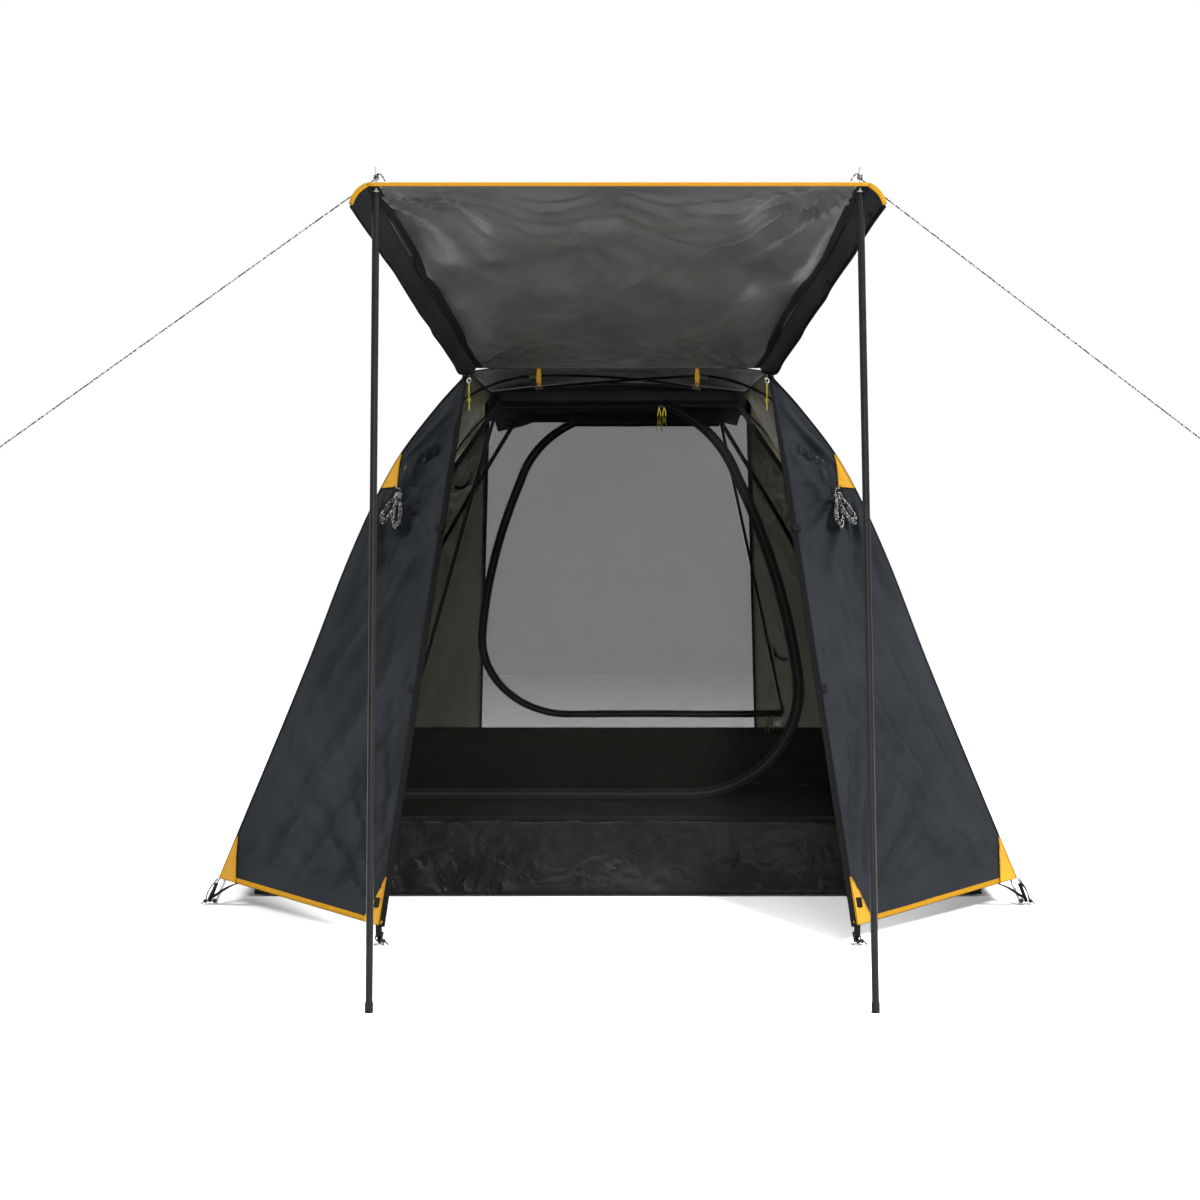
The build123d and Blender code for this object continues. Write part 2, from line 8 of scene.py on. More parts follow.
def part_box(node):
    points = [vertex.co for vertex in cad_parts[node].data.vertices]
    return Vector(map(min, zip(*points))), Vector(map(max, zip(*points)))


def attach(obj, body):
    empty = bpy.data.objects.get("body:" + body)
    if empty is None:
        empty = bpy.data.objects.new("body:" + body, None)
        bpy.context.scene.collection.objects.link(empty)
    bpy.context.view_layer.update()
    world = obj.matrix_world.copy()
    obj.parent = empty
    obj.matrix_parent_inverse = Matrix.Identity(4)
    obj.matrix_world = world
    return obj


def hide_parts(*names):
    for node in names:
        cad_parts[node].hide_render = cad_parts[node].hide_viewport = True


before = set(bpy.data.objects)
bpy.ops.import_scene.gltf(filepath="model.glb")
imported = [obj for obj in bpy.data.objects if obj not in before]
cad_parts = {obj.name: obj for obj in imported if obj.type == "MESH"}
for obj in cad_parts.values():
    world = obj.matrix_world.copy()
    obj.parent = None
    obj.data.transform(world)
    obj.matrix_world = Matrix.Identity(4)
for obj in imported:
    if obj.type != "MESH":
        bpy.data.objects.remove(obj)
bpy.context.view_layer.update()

# ---- driving dimensions, in metres -------------------------------------------------------
MID_Y = 0.328
CORNER = (1.130, 1.310)
# Height, and share of CORNER, along a corner ridge, close to the CAD's own rows.
RIDGE = [(0.060, 0.985), (0.636, 0.800), (0.980, 0.696), (1.233, 0.600), (1.408, 0.500), (1.530, 0.416)]
HEM_Z = 0.070
EAVE_Z = 1.530
ROOF_TOP = 1.563
DOOR_TOP = (0.480, 0.530, 1.540)
DOOR_LOW = (0.600, 1.785, 0.040)
TUB_TOP, TUB_LOW = (1.000, 1.150, 0.210), (1.030, 1.190, 0.004)
INNER_W = [(0.210, 1.000), (0.850, 0.735), (1.460, 0.360)]
INNER_TOP, INNER_TOP_Y = 1.460, 0.535
AWNING_BACK, AWNING_FRONT = (0.545, 1.541), (2.505, 1.803)
AWNING_HALF = (0.445, 0.545)
FLAP_START = 0.180
FLAP_DROP = (0.032, 0.045)
UPRIGHT_X, UPRIGHT_Y = 0.527, 2.490
ENDS = {"front": -1, "rear": 1}
SIDES = {"left": -1, "right": 1}


def at(x, y, z):
    """A point given from the middle of the tent floor."""
    return Vector((x, y + MID_Y, z))


def lerp(a, b, t):
    return a + (b - a) * t


def smooth(t):
    t = max(0.0, min(1.0, t))
    return t * t * (3 - 2 * t)


def table(rows, z):
    """A smooth curve through (z, value) rows."""
    rows = [(2 * rows[0][0] - rows[1][0], 2 * rows[0][1] - rows[1][1]), *rows]
    rows.append((2 * rows[-1][0] - rows[-2][0], 2 * rows[-1][1] - rows[-2][1]))
    for i in range(1, len(rows) - 2):
        if z <= rows[i + 1][0] or i == len(rows) - 3:
            (z0, k0), (z1, k1), (z2, k2), (z3, k3) = rows[i - 1 : i + 3]
            t, span = (z - z1) / (z2 - z1), z2 - z1
            m1, m2 = (k2 - k0) / (z2 - z0) * span, (k3 - k1) / (z3 - z1) * span
            a, b = 2 * t**3 - 3 * t**2 + 1, t**3 - 2 * t**2 + t
            return a * k1 + b * m1 + (1 - a) * k2 + (t**3 - t**2) * m2


def ridge(side, end, z):
    share = table(RIDGE, z)
    return at(side * CORNER[0] * share, end * CORNER[1] * share, z)


def door_edge(side, end, z):
    share = (DOOR_TOP[2] - z) / (DOOR_TOP[2] - DOOR_LOW[2])
    return at(
        side * lerp(DOOR_TOP[0], DOOR_LOW[0], share), end * lerp(DOOR_TOP[1], DOOR_LOW[1], share), z
    )


# ---- materials ---------------------------------------------------------------------------
def material(name, color, roughness, **sockets):
    made = bpy.data.materials.new(name)
    made.use_nodes = True
    tree = made.node_tree
    shader = tree.nodes["Principled BSDF"]
    shader.inputs["Base Color"].default_value = (*color, 1)
    shader.inputs["Roughness"].default_value = roughness
    for key, value in sockets.items():
        shader.inputs[key.replace("_", " ")].default_value = value
    made["plain"] = tuple(color)
    return made


def node(made, kind, **settings):
    new = made.node_tree.nodes.new("ShaderNode" + kind)
    for key, value in settings.items():
        if hasattr(new, key):
            setattr(new, key, value)
        else:
            new.inputs[key.replace("_", " ")].default_value = value
    return new


def link(made, source, target):
    made.node_tree.links.new(source, target)


def shader_input(made, name):
    return made.node_tree.nodes["Principled BSDF"].inputs[name]


def add_bump(made, height, distance, strength=1.0):
    """Adds a bump to those the material has."""
    normal = shader_input(made, "Normal")
    bump = node(made, "Bump", Strength=strength, Distance=distance)
    link(made, height, bump.inputs["Height"])
    if normal.is_linked:
        link(made, normal.links[0].from_socket, bump.inputs["Normal"])
    link(made, bump.outputs["Normal"], normal)


WAVE_BANDS = math.pi / 10    # a wave texture's scale for one band in a metre


def add_weave(made, pitch, depth):
    """Crossing threads along the two directions of the map, which is in metres."""
    uv = node(made, "TexCoord")
    heights = []
    for direction in ("X", "Y"):
        wave = node(
            made, "TexWave", bands_direction=direction, Scale=WAVE_BANDS / pitch, Distortion=0.6, Detail=1.0
        )
        link(made, uv.outputs["UV"], wave.inputs["Vector"])
        heights.append(wave.outputs["Fac"])
    both = node(made, "Math", operation="MULTIPLY")
    link(made, heights[0], both.inputs[0])
    link(made, heights[1], both.inputs[1])
    add_bump(made, both.outputs[0], depth)
    return both.outputs[0]


def add_crinkle(made, scale, depth, kind="RIDGED_MULTIFRACTAL", detail=5.0, stretch=(1, 1, 1)):
    """Small creases all over, and returns their height."""
    place = node(made, "TexCoord")
    mapping = node(made, "Mapping")
    mapping.inputs["Scale"].default_value = stretch
    creases = node(made, "TexNoise", noise_type=kind, Scale=scale, Detail=detail, Distortion=0.4)
    link(made, place.outputs["Object"], mapping.inputs["Vector"])
    link(made, mapping.outputs["Vector"], creases.inputs["Vector"])
    add_bump(made, creases.outputs["Fac"], depth)
    return creases.outputs["Fac"]


def add_tone(made, source, dark, light, low=0.3, high=0.7):
    """Lets a height or noise vary the colour between two tones."""
    ramp = node(made, "ValToRGB")
    ramp.color_ramp.elements[0].position, ramp.color_ramp.elements[1].position = low, high
    ramp.color_ramp.elements[0].color, ramp.color_ramp.elements[1].color = (*dark, 1), (*light, 1)
    link(made, source, ramp.inputs["Fac"])
    link(made, ramp.outputs["Color"], shader_input(made, "Base Color"))
    return ramp.outputs["Color"]


def add_rough(made, source, low, high):
    spread = node(made, "MapRange", To_Min=low, To_Max=high)
    link(made, source, spread.inputs["Value"])
    link(made, spread.outputs["Result"], shader_input(made, "Roughness"))


def mottle(made, scale, detail=4.0):
    place = node(made, "TexCoord")
    patches = node(made, "TexNoise", Scale=scale, Detail=detail)
    link(made, place.outputs["Object"], patches.inputs["Vector"])
    return patches.outputs["Fac"]


THREAD_PITCH = 0.0011


def cloth(name, dark, light, roughness, crinkle=0.0016, **sockets):
    made = material(name, light, roughness, **sockets)
    add_tone(made, mottle(made, 3.5, 6.0), dark, light, 0.32, 0.68)
    add_weave(made, THREAD_PITCH, 0.00025)
    height = add_crinkle(made, 3.2, crinkle, stretch=(1.0, 1.0, 0.55))
    add_rough(made, height, roughness - 0.06, roughness + 0.10)
    return made


FLY_OUT = cloth(
    "fly outside", (0.0050, 0.0064, 0.0080), (0.0088, 0.0106, 0.0130), 0.62, IOR=1.17
)
FLY_IN = cloth(
    "fly inside coating", (0.125, 0.123, 0.110), (0.165, 0.161, 0.143), 0.50, Subsurface_Weight=1.0,
    Subsurface_Scale=0.004, Subsurface_Radius=(1.0, 0.97, 0.88), Specular_IOR_Level=0.2,
)
AWNING_IN = cloth(
    "awning coating", (0.021, 0.022, 0.0197), (0.033, 0.034, 0.0305), 0.38, Specular_IOR_Level=0.28
)
ROOF_IN = cloth(
    "roof coating", (0.026, 0.029, 0.029), (0.040, 0.044, 0.043), 0.42, Specular_IOR_Level=0.2
)
FLAP_IN = cloth(
    "flap coating", (0.0040, 0.0046, 0.0052), (0.0075, 0.0085, 0.0095), 0.5, Specular_IOR_Level=0.12
)

# The coating looks darker under the roof than down at the hem.
place_in = node(FLY_IN, "TexCoord")
parts_in = node(FLY_IN, "SeparateXYZ")
shade = node(
    FLY_IN, "MapRange", From_Min=1.02, From_Max=1.38, To_Min=1.0, To_Max=0.16,
    interpolation_type="SMOOTHSTEP",
)
darker = node(FLY_IN, "VectorMath", operation="SCALE")
coating = shader_input(FLY_IN, "Base Color")
link(FLY_IN, place_in.outputs["Object"], parts_in.inputs[0])
link(FLY_IN, parts_in.outputs["Z"], shade.inputs["Value"])
link(FLY_IN, coating.links[0].from_socket, darker.inputs[0])
link(FLY_IN, shade.outputs["Result"], darker.inputs["Scale"])
link(FLY_IN, darker.outputs["Vector"], coating)

PATCH = cloth(
    "yellow patch cloth", (0.26, 0.128, 0.004), (0.34, 0.175, 0.007), 0.6, crinkle=0.0006,
    Specular_IOR_Level=0.15,
)
TRIM = cloth(
    "black trim cloth", (0.0025, 0.0025, 0.003), (0.005, 0.005, 0.006), 0.62, crinkle=0.0006,
    Specular_IOR_Level=0.05,
)

TUB = material("tub cloth", (0.002, 0.002, 0.002), 0.30, Specular_IOR_Level=0.10)
add_tone(TUB, mottle(TUB, 9.0), (0.0012, 0.0012, 0.0010), (0.0030, 0.0030, 0.0026))
add_weave(TUB, 0.0015, 0.0002)
add_crinkle(TUB, 45.0, 0.0030, detail=4.0)
add_rough(TUB, add_crinkle(TUB, 17.0, 0.0075, detail=8.0), 0.20, 0.36)

NET = material("netting", (0.008, 0.0078, 0.007), 0.80, Specular_IOR_Level=0.05, Alpha=0.36)
add_tone(NET, add_weave(NET, 0.0022, 0.0004), (0.003, 0.0028, 0.0022), (0.012, 0.0112, 0.0088), 0.2, 0.8)


def tape(name, ground, thread, rows, pitch=0.0045, rib=0.0012, roughness=0.6):
    """Woven tape whose map runs along it in x and across it, from 0 to 1, in y."""
    made = material(name, ground, roughness, Specular_IOR_Level=0.05)
    uv = node(made, "TexCoord")
    split = node(made, "SeparateXYZ")
    link(made, uv.outputs["UV"], split.inputs[0])
    ribs = node(made, "TexWave", bands_direction="X", Scale=WAVE_BANDS / rib, Distortion=0.3)
    link(made, uv.outputs["UV"], ribs.inputs["Vector"])
    add_bump(made, ribs.outputs["Fac"], 0.0003)
    dashes = node(made, "TexWave", bands_direction="X", Scale=WAVE_BANDS / pitch)
    link(made, uv.outputs["UV"], dashes.inputs["Vector"])
    dash = node(made, "Math", operation="GREATER_THAN")
    dash.inputs[1].default_value = 0.35
    link(made, dashes.outputs["Fac"], dash.inputs[0])
    total = None
    for row in rows:
        near = node(made, "Math", operation="COMPARE")
        near.inputs[1].default_value = row
        near.inputs[2].default_value = 0.045
        link(made, split.outputs["Y"], near.inputs[0])
        if total is not None:
            both = node(made, "Math", operation="MAXIMUM")
            link(made, total, both.inputs[0])
            link(made, near.outputs[0], both.inputs[1])
            total = both.outputs[0]
        else:
            total = near.outputs[0]
    stitch = node(made, "Math", operation="MULTIPLY")
    link(made, total, stitch.inputs[0])
    link(made, dash.outputs[0], stitch.inputs[1])
    add_tone(made, stitch.outputs[0], ground, thread, 0.0, 1.0)
    add_bump(made, stitch.outputs[0], 0.0006)
    return made


BINDING = tape("yellow binding", (0.27, 0.130, 0.004), (0.12, 0.052, 0.002), (0.28, 0.72))
SEAM = tape("fly seam", (0.011, 0.013, 0.0165), (0.004, 0.005, 0.006), (0.22, 0.78))
WEBBING = tape("black webbing", (0.003, 0.003, 0.0035), (0.009, 0.009, 0.010), (0.2, 0.8))
ZIP_TAPE = tape("zip tape", (0.0025, 0.0025, 0.003), (0.007, 0.007, 0.007), (0.2, 0.45), rib=0.0009)

COIL = material("zip coil", (0.004, 0.004, 0.004), 0.40, Specular_IOR_Level=0.25)
uv_of_coil = node(COIL, "TexCoord")
teeth = node(COIL, "TexWave", bands_direction="X", Scale=WAVE_BANDS / 0.0016)
link(COIL, uv_of_coil.outputs["UV"], teeth.inputs["Vector"])
add_bump(COIL, teeth.outputs["Fac"], 0.0010)

HOOK_TAPE = material("hook tape", (0.003, 0.003, 0.0035), 0.85, Specular_IOR_Level=0.1)
add_crinkle(HOOK_TAPE, 900.0, 0.0006, kind="FBM", detail=2.0)

POLE = material("glass-fibre pole", (0.004, 0.004, 0.0045), 0.30, Specular_IOR_Level=0.3)
add_rough(POLE, add_crinkle(POLE, 60.0, 0.0002, kind="FBM", stretch=(6, 6, 0.3)), 0.22, 0.40)

TUBE = material("powder-coated tube", (0.003, 0.003, 0.003), 0.34, Specular_IOR_Level=0.14)
add_tone(TUBE, mottle(TUBE, 40.0), (0.0022, 0.0022, 0.0022), (0.0045, 0.0045, 0.0045))
add_rough(TUBE, add_crinkle(TUBE, 700.0, 0.0001, kind="FBM"), 0.28, 0.42)

STEEL = material("plated steel", (0.50, 0.50, 0.49), 0.28, Metallic=1.0)
add_tone(STEEL, mottle(STEEL, 90.0), (0.36, 0.36, 0.35), (0.60, 0.60, 0.59))
add_rough(STEEL, add_crinkle(STEEL, 400.0, 0.0001, kind="FBM", stretch=(1, 1, 0.1)), 0.20, 0.42)

PLASTIC = material("moulded plastic", (0.004, 0.004, 0.0045), 0.48, Specular_IOR_Level=0.25)
add_rough(PLASTIC, add_crinkle(PLASTIC, 800.0, 0.0001, kind="FBM"), 0.40, 0.58)

RUBBER = material("rubber", (0.004, 0.004, 0.004), 0.80, Specular_IOR_Level=0.2)
add_rough(RUBBER, add_crinkle(RUBBER, 500.0, 0.0002, kind="FBM"), 0.70, 0.90)


def cord_material(name, ground, fleck, share, scale=260.0):
    """Braided cord: ribs all over, with flecks of a second colour."""
    made = material(name, ground, 0.7, Specular_IOR_Level=0.2)
    place = node(made, "TexCoord")
    cells = node(made, "TexVoronoi", Scale=scale)
    link(made, place.outputs["Object"], cells.inputs["Vector"])
    split = node(made, "SeparateColor")
    link(made, cells.outputs["Color"], split.inputs[0])
    add_tone(made, split.outputs[0], ground, fleck, 1 - share - 0.01, 1 - share + 0.01)
    add_bump(made, cells.outputs["Distance"], 0.0006)
    return made


GUY = cord_material("guy cord", (0.003, 0.003, 0.003), (0.26, 0.26, 0.25), 0.30, 420.0)
PULL = cord_material("zip pull cord", (0.40, 0.34, 0.02), (0.55, 0.50, 0.06), 0.4, 900.0)
LOOP = cord_material("black loop cord", (0.003, 0.003, 0.003), (0.012, 0.012, 0.012), 0.4, 700.0)

# ---- mesh helpers ------------------------------------------------------------------------
MIDDLE = at(0, 0, 0.6)
RIGHT, BACK, UP = Vector((1, 0, 0)), Vector((0, 1, 0)), Vector((0, 0, 1))


def new_object(name, verts, faces, uvs, mats, body, flat=False):
    mesh = bpy.data.meshes.new(name)
    mesh.from_pydata(verts, [], faces)
    layer = mesh.uv_layers.new(name="UVMap")
    for loop in mesh.loops:
        layer.data[loop.index].uv = uvs[loop.vertex_index]
    for made in mats:
        mesh.materials.append(made)
    for face in mesh.polygons:
        face.use_smooth = not flat
    thing = bpy.data.objects.new(name, mesh)
    bpy.context.collection.objects.link(thing)
    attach(thing, body)
    return thing


def panel(name, fn, nu, nv, size, mats, body="tent", thick=0.0007, away=MIDDLE):
    """A cloth panel over a grid. fn(u, v) gives its points; its outside faces away from a point."""
    verts = [fn(i / nu, j / nv) for j in range(nv + 1) for i in range(nu + 1)]
    uvs = [(size[0] * i / nu, size[1] * j / nv) for j in range(nv + 1) for i in range(nu + 1)]
    row = nu + 1
    middle = row * (nv // 2) + nu // 2
    normal = (verts[middle + 1] - verts[middle]).cross(verts[middle + row] - verts[middle])
    turn = normal.dot(verts[middle] - away) < 0
    faces = []
    for j in range(nv):
        for i in range(nu):
            a = j * row + i
            quad = (a, a + 1, a + 1 + row, a + row)
            faces.append(quad[::-1] if turn else quad)
    thing = new_object(name, verts, faces, uvs, mats, body)
    shell = thing.modifiers.new("thickness", "SOLIDIFY")
    shell.thickness, shell.offset = thick, -1
    if len(mats) > 1:
        shell.material_offset = 1
    return thing


def ribbon(name, points, sides, width, mat, body="tent", rise=0.0012):
    """A tape along a line of points. sides is its across direction, or one for each point."""
    if isinstance(sides, Vector):
        sides = [sides] * len(points)
    profile = [(-0.5, 0.0), (-0.47, 0.8), (-0.2, 1.0), (0.2, 1.0), (0.47, 0.8), (0.5, 0.0)]
    profile += [(0.4, -0.25), (-0.4, -0.25)]
    verts, uvs, faces, run = [], [], [], 0.0
    for k, (point, across) in enumerate(zip(points, sides)):
        run += (point - points[k - 1]).length if k else 0.0
        along = points[min(k + 1, len(points) - 1)] - points[max(k - 1, 0)]
        across = (across - along * (across.dot(along) / along.length_squared)).normalized()
        up = along.cross(across).normalized()
        for s, h in profile:
            verts.append(point + across * (s * width) + up * (h * rise))
            uvs.append((run, s + 0.5))
    n = len(profile)
    for k in range(len(points) - 1):
        for i in range(n):
            a, b = k * n + i, k * n + (i + 1) % n
            faces.append((a, b, b + n, a + n))
    faces.append(tuple(range(n))[::-1])
    faces.append(tuple(range(len(verts) - n, len(verts))))
    return new_object(name, verts, faces, uvs, [mat], body)


def tube(name, points, radius, mat, body="tent", sides=10, closed=False):
    """A round tube of one radius, or of one radius for each point."""
    radii = radius if isinstance(radius, list) else [radius] * len(points)
    verts, uvs, faces, run = [], [], [], 0.0
    count = len(points)
    up = None
    for k, point in enumerate(points):
        run += (point - points[k - 1]).length if k else 0.0
        if closed:
            along = points[(k + 1) % count] - points[k - 1]
        else:
            along = points[min(k + 1, count - 1)] - points[max(k - 1, 0)]
        along.normalize()
        if up is None:
            up = along.orthogonal().normalized()
        up = (up - along * up.dot(along)).normalized()
        across = along.cross(up)
        for i in range(sides):
            a = 2 * math.pi * i / sides
            verts.append(point + (up * math.cos(a) + across * math.sin(a)) * radii[k])
            uvs.append((run, i / sides))
    for k in range(count if closed else count - 1):
        for i in range(sides):
            a, b = k * sides + i, k * sides + (i + 1) % sides
            c, d = (a + sides) % len(verts), (b + sides) % len(verts)
            faces.append((a, b, d, c))
    if not closed:
        faces.append(tuple(range(sides))[::-1])
        faces.append(tuple(range(len(verts) - sides, len(verts))))
    return new_object(name, verts, faces, uvs, [mat], body)


def curve_points(controls, steps=8):
    """Points along a smooth curve through the controls."""
    made = []
    ext = [controls[0] * 2 - controls[1], *controls, controls[-1] * 2 - controls[-2]]
    for a, b, c, d in zip(ext, ext[1:], ext[2:], ext[3:]):
        for k in range(steps):
            t = k / steps
            made.append(
                (b * 2 + (c - a) * t + (a * 2 - b * 5 + c * 4 - d) * t**2 + (b * 3 - a - c * 3 + d) * t**3)
                / 2
            )
    return [*made, controls[-1]]


def repaint(node_name, made):
    thing = bpy.data.objects[node_name]
    if not thing.material_slots:
        thing.data.materials.append(made)
    for slot in thing.material_slots:
        slot.material = made


def sheet(piece, flat):
    """Declares a sheet whose flat area is that of the cut panel."""
    cut = sum(face.area for face in piece.data.polygons)
    assert cut <= flat[0] * flat[1] * 1.04, (piece.name, cut, flat)


def rough(p, scale, seed=0.0):
    return noise.noise(Vector(p) * scale + Vector((seed, seed * 1.7, -seed)))


# ---- camera ------------------------------------------------------------------------------
camera = bpy.data.objects.new("camera", bpy.data.cameras.new("camera"))
bpy.context.collection.objects.link(camera)
camera.data.lens, camera.data.sensor_width = 60.0, 36.0
camera.data.shift_x, camera.data.shift_y = -0.0150, -0.0767
camera.location = at(0, -6.85, 1.1)
camera.rotation_euler = (math.radians(90), 0, 0)
camera.data.clip_end = 200.0
bpy.context.scene.camera = camera

# ---- guy lines ---------------------------------------------------------------------------
GUY_START = (0.532, 1.815)
GUY_END = {"left": (1.430, 1.174), "right": (1.360, 1.182)}
for name, side in SIDES.items():
    start = at(side * GUY_START[0], -UPRIGHT_Y, GUY_START[1])
    stop = at(side * GUY_END[name][0], -UPRIGHT_Y, GUY_END[name][1])
    run = (stop - start).normalized()
    curve = bpy.data.curves.new(f"guy_cord_{name}", "CURVE")
    curve.dimensions, curve.bevel_depth, curve.bevel_resolution = "3D", 0.0015, 3
    curve.use_fill_caps = True
    spline = curve.splines.new("NURBS")
    route = [start, start + run * 0.018, stop - run * 0.018, stop]
    spline.points.add(len(route) - 1)
    for point, place in zip(spline.points, route):
        point.co = (*place, 1)
    spline.order_u = 3
    spline.use_endpoint_u = True
    curve.materials.append(GUY)
    line = bpy.data.objects.new(f"guy_cord_{name}", curve)
    bpy.context.collection.objects.link(line)
    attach(line, f"upright_{name}")
    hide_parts(f"guy_line_{name}")
    knot_points, tails = [], []
    top = at(side * UPRIGHT_X, -UPRIGHT_Y, GUY_START[1])
    for k in range(61):
        a = 2 * math.pi * 3 * k / 60
        knot_points.append(top + Vector((0.0048 * math.cos(a), 0.0048 * math.sin(a), 0.011 - 0.010 * k / 60)))
    knot = tube(f"spike_knot_{name}", knot_points, 0.0015, GUY, f"upright_{name}", 8)
    tail = curve_points(
        [top + Vector((side * a, b, c)) for a, b, c in
         ((0.002, -0.005, 0.008), (-0.008, -0.010, 0.012), (-0.016, -0.009, 0.004), (-0.020, -0.008, -0.004))]
    )
    tail = tube(f"spike_knot_tail_{name}", tail, 0.0015, GUY, f"upright_{name}", 8)
    repaint(f"guy_end_{name}", GUY)
    repaint(f"guy_runner_{name}", PLASTIC)


# ---- fly sheet ---------------------------------------------------------------------------
def fan(point, centre, folds, reach, depth):
    """Folds that radiate from a point where the cloth is pulled."""
    away = Vector(point) - Vector(centre)
    r = away.length
    turn = math.atan2(away.y, away.x)
    crease = noise.noise(Vector((folds * 0.62 * turn, r * 1.1, 5.0 + 3.0 * centre[0] + 7.0 * centre[1])))
    return 3.6 * depth * crease * smooth(r / 0.15) * math.exp(-r / reach)


def vestibule_point(side, end, u, v, lift=0.0):
    """A point on a vestibule: u runs from the corner ridge to the door edge, v up from the hem."""

    def flat_point(s, t):
        a = ridge(side, end, lerp(HEM_Z, EAVE_Z, t))
        b = door_edge(side, end, lerp(DOOR_LOW[2], DOOR_TOP[2], t))
        return a + (b - a) * s

    p = flat_point(u, v)
    d = 0.004
    normal = (flat_point(u + d, v) - flat_point(u - d, v)).cross(
        flat_point(u, v + d) - flat_point(u, v - d)
    ).normalized()
    if normal.y * end < 0:
        normal = -normal
    width, height = (flat_point(0, v) - flat_point(1, v)).length, 1.75
    x, y = u * width, v * height
    edge = smooth(min(u, 1 - u) * width / 0.07) * smooth((v * height - 0.02) / 0.10)
    seed = 3.1 * side + 7.7 * end
    fold = -0.020 * math.sin(math.pi * u) * math.sin(math.pi * min(1, v * 1.1)) ** 0.7
    lean = x - 0.16 * y
    fold += 0.036 * rough((lean * 10.0, y * 0.8, seed), 1.0) * math.sin(math.pi * u)
    fold += 0.018 * rough((x * 3 + y * 4.0, y * 2.2 - x * 2, seed + 4), 1.0)
    fold += 0.015 * rough((lean * 28.0, y * 2.0, seed + 8), 1.0)
    fold += fan((x, y), (0.0, 1.33), 14, 0.34, 0.013)
    fold += fan((x, y), (width, 0.0), 22, 0.48, 0.013)
    fold += fan((x, y), (0.0, 0.0), 16, 0.30, 0.010)
    fold += 0.003 * rough((x * 16, y * 9, seed), 1.0)
    return p + normal * (fold * edge + lift)


QUARTERS = [
    (f"{where}_{name}", side, end) for name, side in SIDES.items() for where, end in ENDS.items()
]
for tag, side, end in QUARTERS:
    piece = panel(
        f"fly_vestibule_cloth_{tag}", lambda u, v: vestibule_point(side, end, u, v), 46, 96,
        (0.70, 1.75), [FLY_OUT, FLY_IN], away=at(0, 0, 0.9),
    )
    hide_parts(f"fly_vestibule_{tag}")
    sheet(piece, (0.72, 1.90))


def side_point(side, u, v, lift=0.0):
    z = lerp(HEM_Z, EAVE_Z, v)
    a, b = ridge(side, -1, z), ridge(side, 1, z)
    p = a + (b - a) * u
    length = (b - a).length
    edge = smooth(min(u, 1 - u) * length / 0.08) * smooth((v - 0.012) / 0.06)
    fold = -0.045 * math.sin(math.pi * u) * math.sin(math.pi * v * 0.94)
    fold += 0.020 * rough((u * 5, v * 3, side), 1.0) + 0.012 * rough((u * 13 + v * 3, v * 3, side + 5), 1.0)
    for c in (0.0, length):
        fold += fan((u * length, v * 1.6), (c, 1.15), 12, 0.30, 0.010)
        fold += fan((u * length, v * 1.6), (c, 0.0), 12, 0.25, 0.009)
    fold += 0.003 * rough((u * 30, v * 14, side + 3), 1.0)
    slope = (ridge(side, -1, z + 0.01) - ridge(side, -1, z - 0.01))
    normal = Vector((slope.z, 0, -slope.x)).normalized() * side
    if normal.x * side < 0:
        normal = -normal
    return p + normal * (fold * edge + lift)


for name, side in SIDES.items():
    piece = panel(
        f"fly_side_cloth_{name}", lambda u, v: side_point(side, u, v), 110, 80, (2.6, 1.62),
        [FLY_OUT, FLY_IN],
    )
    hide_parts(f"fly_side_{name}")
    sheet(piece, (2.60, 1.75))

EAVE = ridge(1, 1, EAVE_Z)
EAVE_X, EAVE_Y = EAVE.x, EAVE.y - MID_Y


def roof_point(u, v, lift=0.0):
    x, y = lerp(-EAVE_X, EAVE_X, u), lerp(-EAVE_Y, EAVE_Y, v)
    arch = 1 - (x / EAVE_X) ** 2
    z = EAVE_Z + (ROOF_TOP - EAVE_Z) * arch
    edge = smooth(min(u, 1 - u) / 0.08) * smooth(min(v, 1 - v) / 0.08)
    fold = 0.005 * rough((x * 4, y * 4, 2), 1.0) + 0.002 * rough((x * 12, y * 12, 5), 1.0)
    fold += fan((x, y), (0, 0), 18, 0.22, 0.005)
    return at(x, y, z + fold * edge + lift)


roof = panel("fly_roof_cloth", roof_point, 60, 70, (0.96, 1.09), [FLY_OUT, ROOF_IN])
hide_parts("fly_roof")
sheet(roof, (0.97, 1.10))


def seam_line(name, fn, count, across, width=0.014, mat=SEAM, rise=0.0012):
    return ribbon(name, [fn(k / count) for k in range(count + 1)], across, width, mat, rise=rise)


for tag, side, end in QUARTERS:
    seam_line(
        f"ridge_seam_{tag}", lambda t: side_point(side, 0.003 if end < 0 else 0.997, t, 0.0005), 90, BACK,
        0.016, rise=-0.0016 if side * end < 0 else 0.0016,
    )
    seam_line(
        f"door_edge_tape_{tag}", lambda t: vestibule_point(side, end, 1.0, t), 90, RIGHT, 0.018, ZIP_TAPE
    )
for name, side in SIDES.items():
    seam_line(
        f"eave_seam_{name}", lambda t: roof_point(0.002 if side < 0 else 0.998, t, 0.0012), 40, RIGHT
    )
for where, end in ENDS.items():
    seam_line(
        f"roof_edge_seam_{where}", lambda t: roof_point(t, 0.004 if end < 0 else 0.996, 0.0008), 40, BACK,
        0.016,
    )


def hem_binding(tag, fn, count, low, width, rise):
    """Yellow binding along a lower edge. fn(u, v) gives the panel's points, low its height."""
    points = [fn(k / count, low) for k in range(count + 1)]
    up = [fn(k / count, 0.02) - point for k, point in enumerate(points)]
    return ribbon(f"hem_binding_{tag}", points, up, width, BINDING, rise=rise)


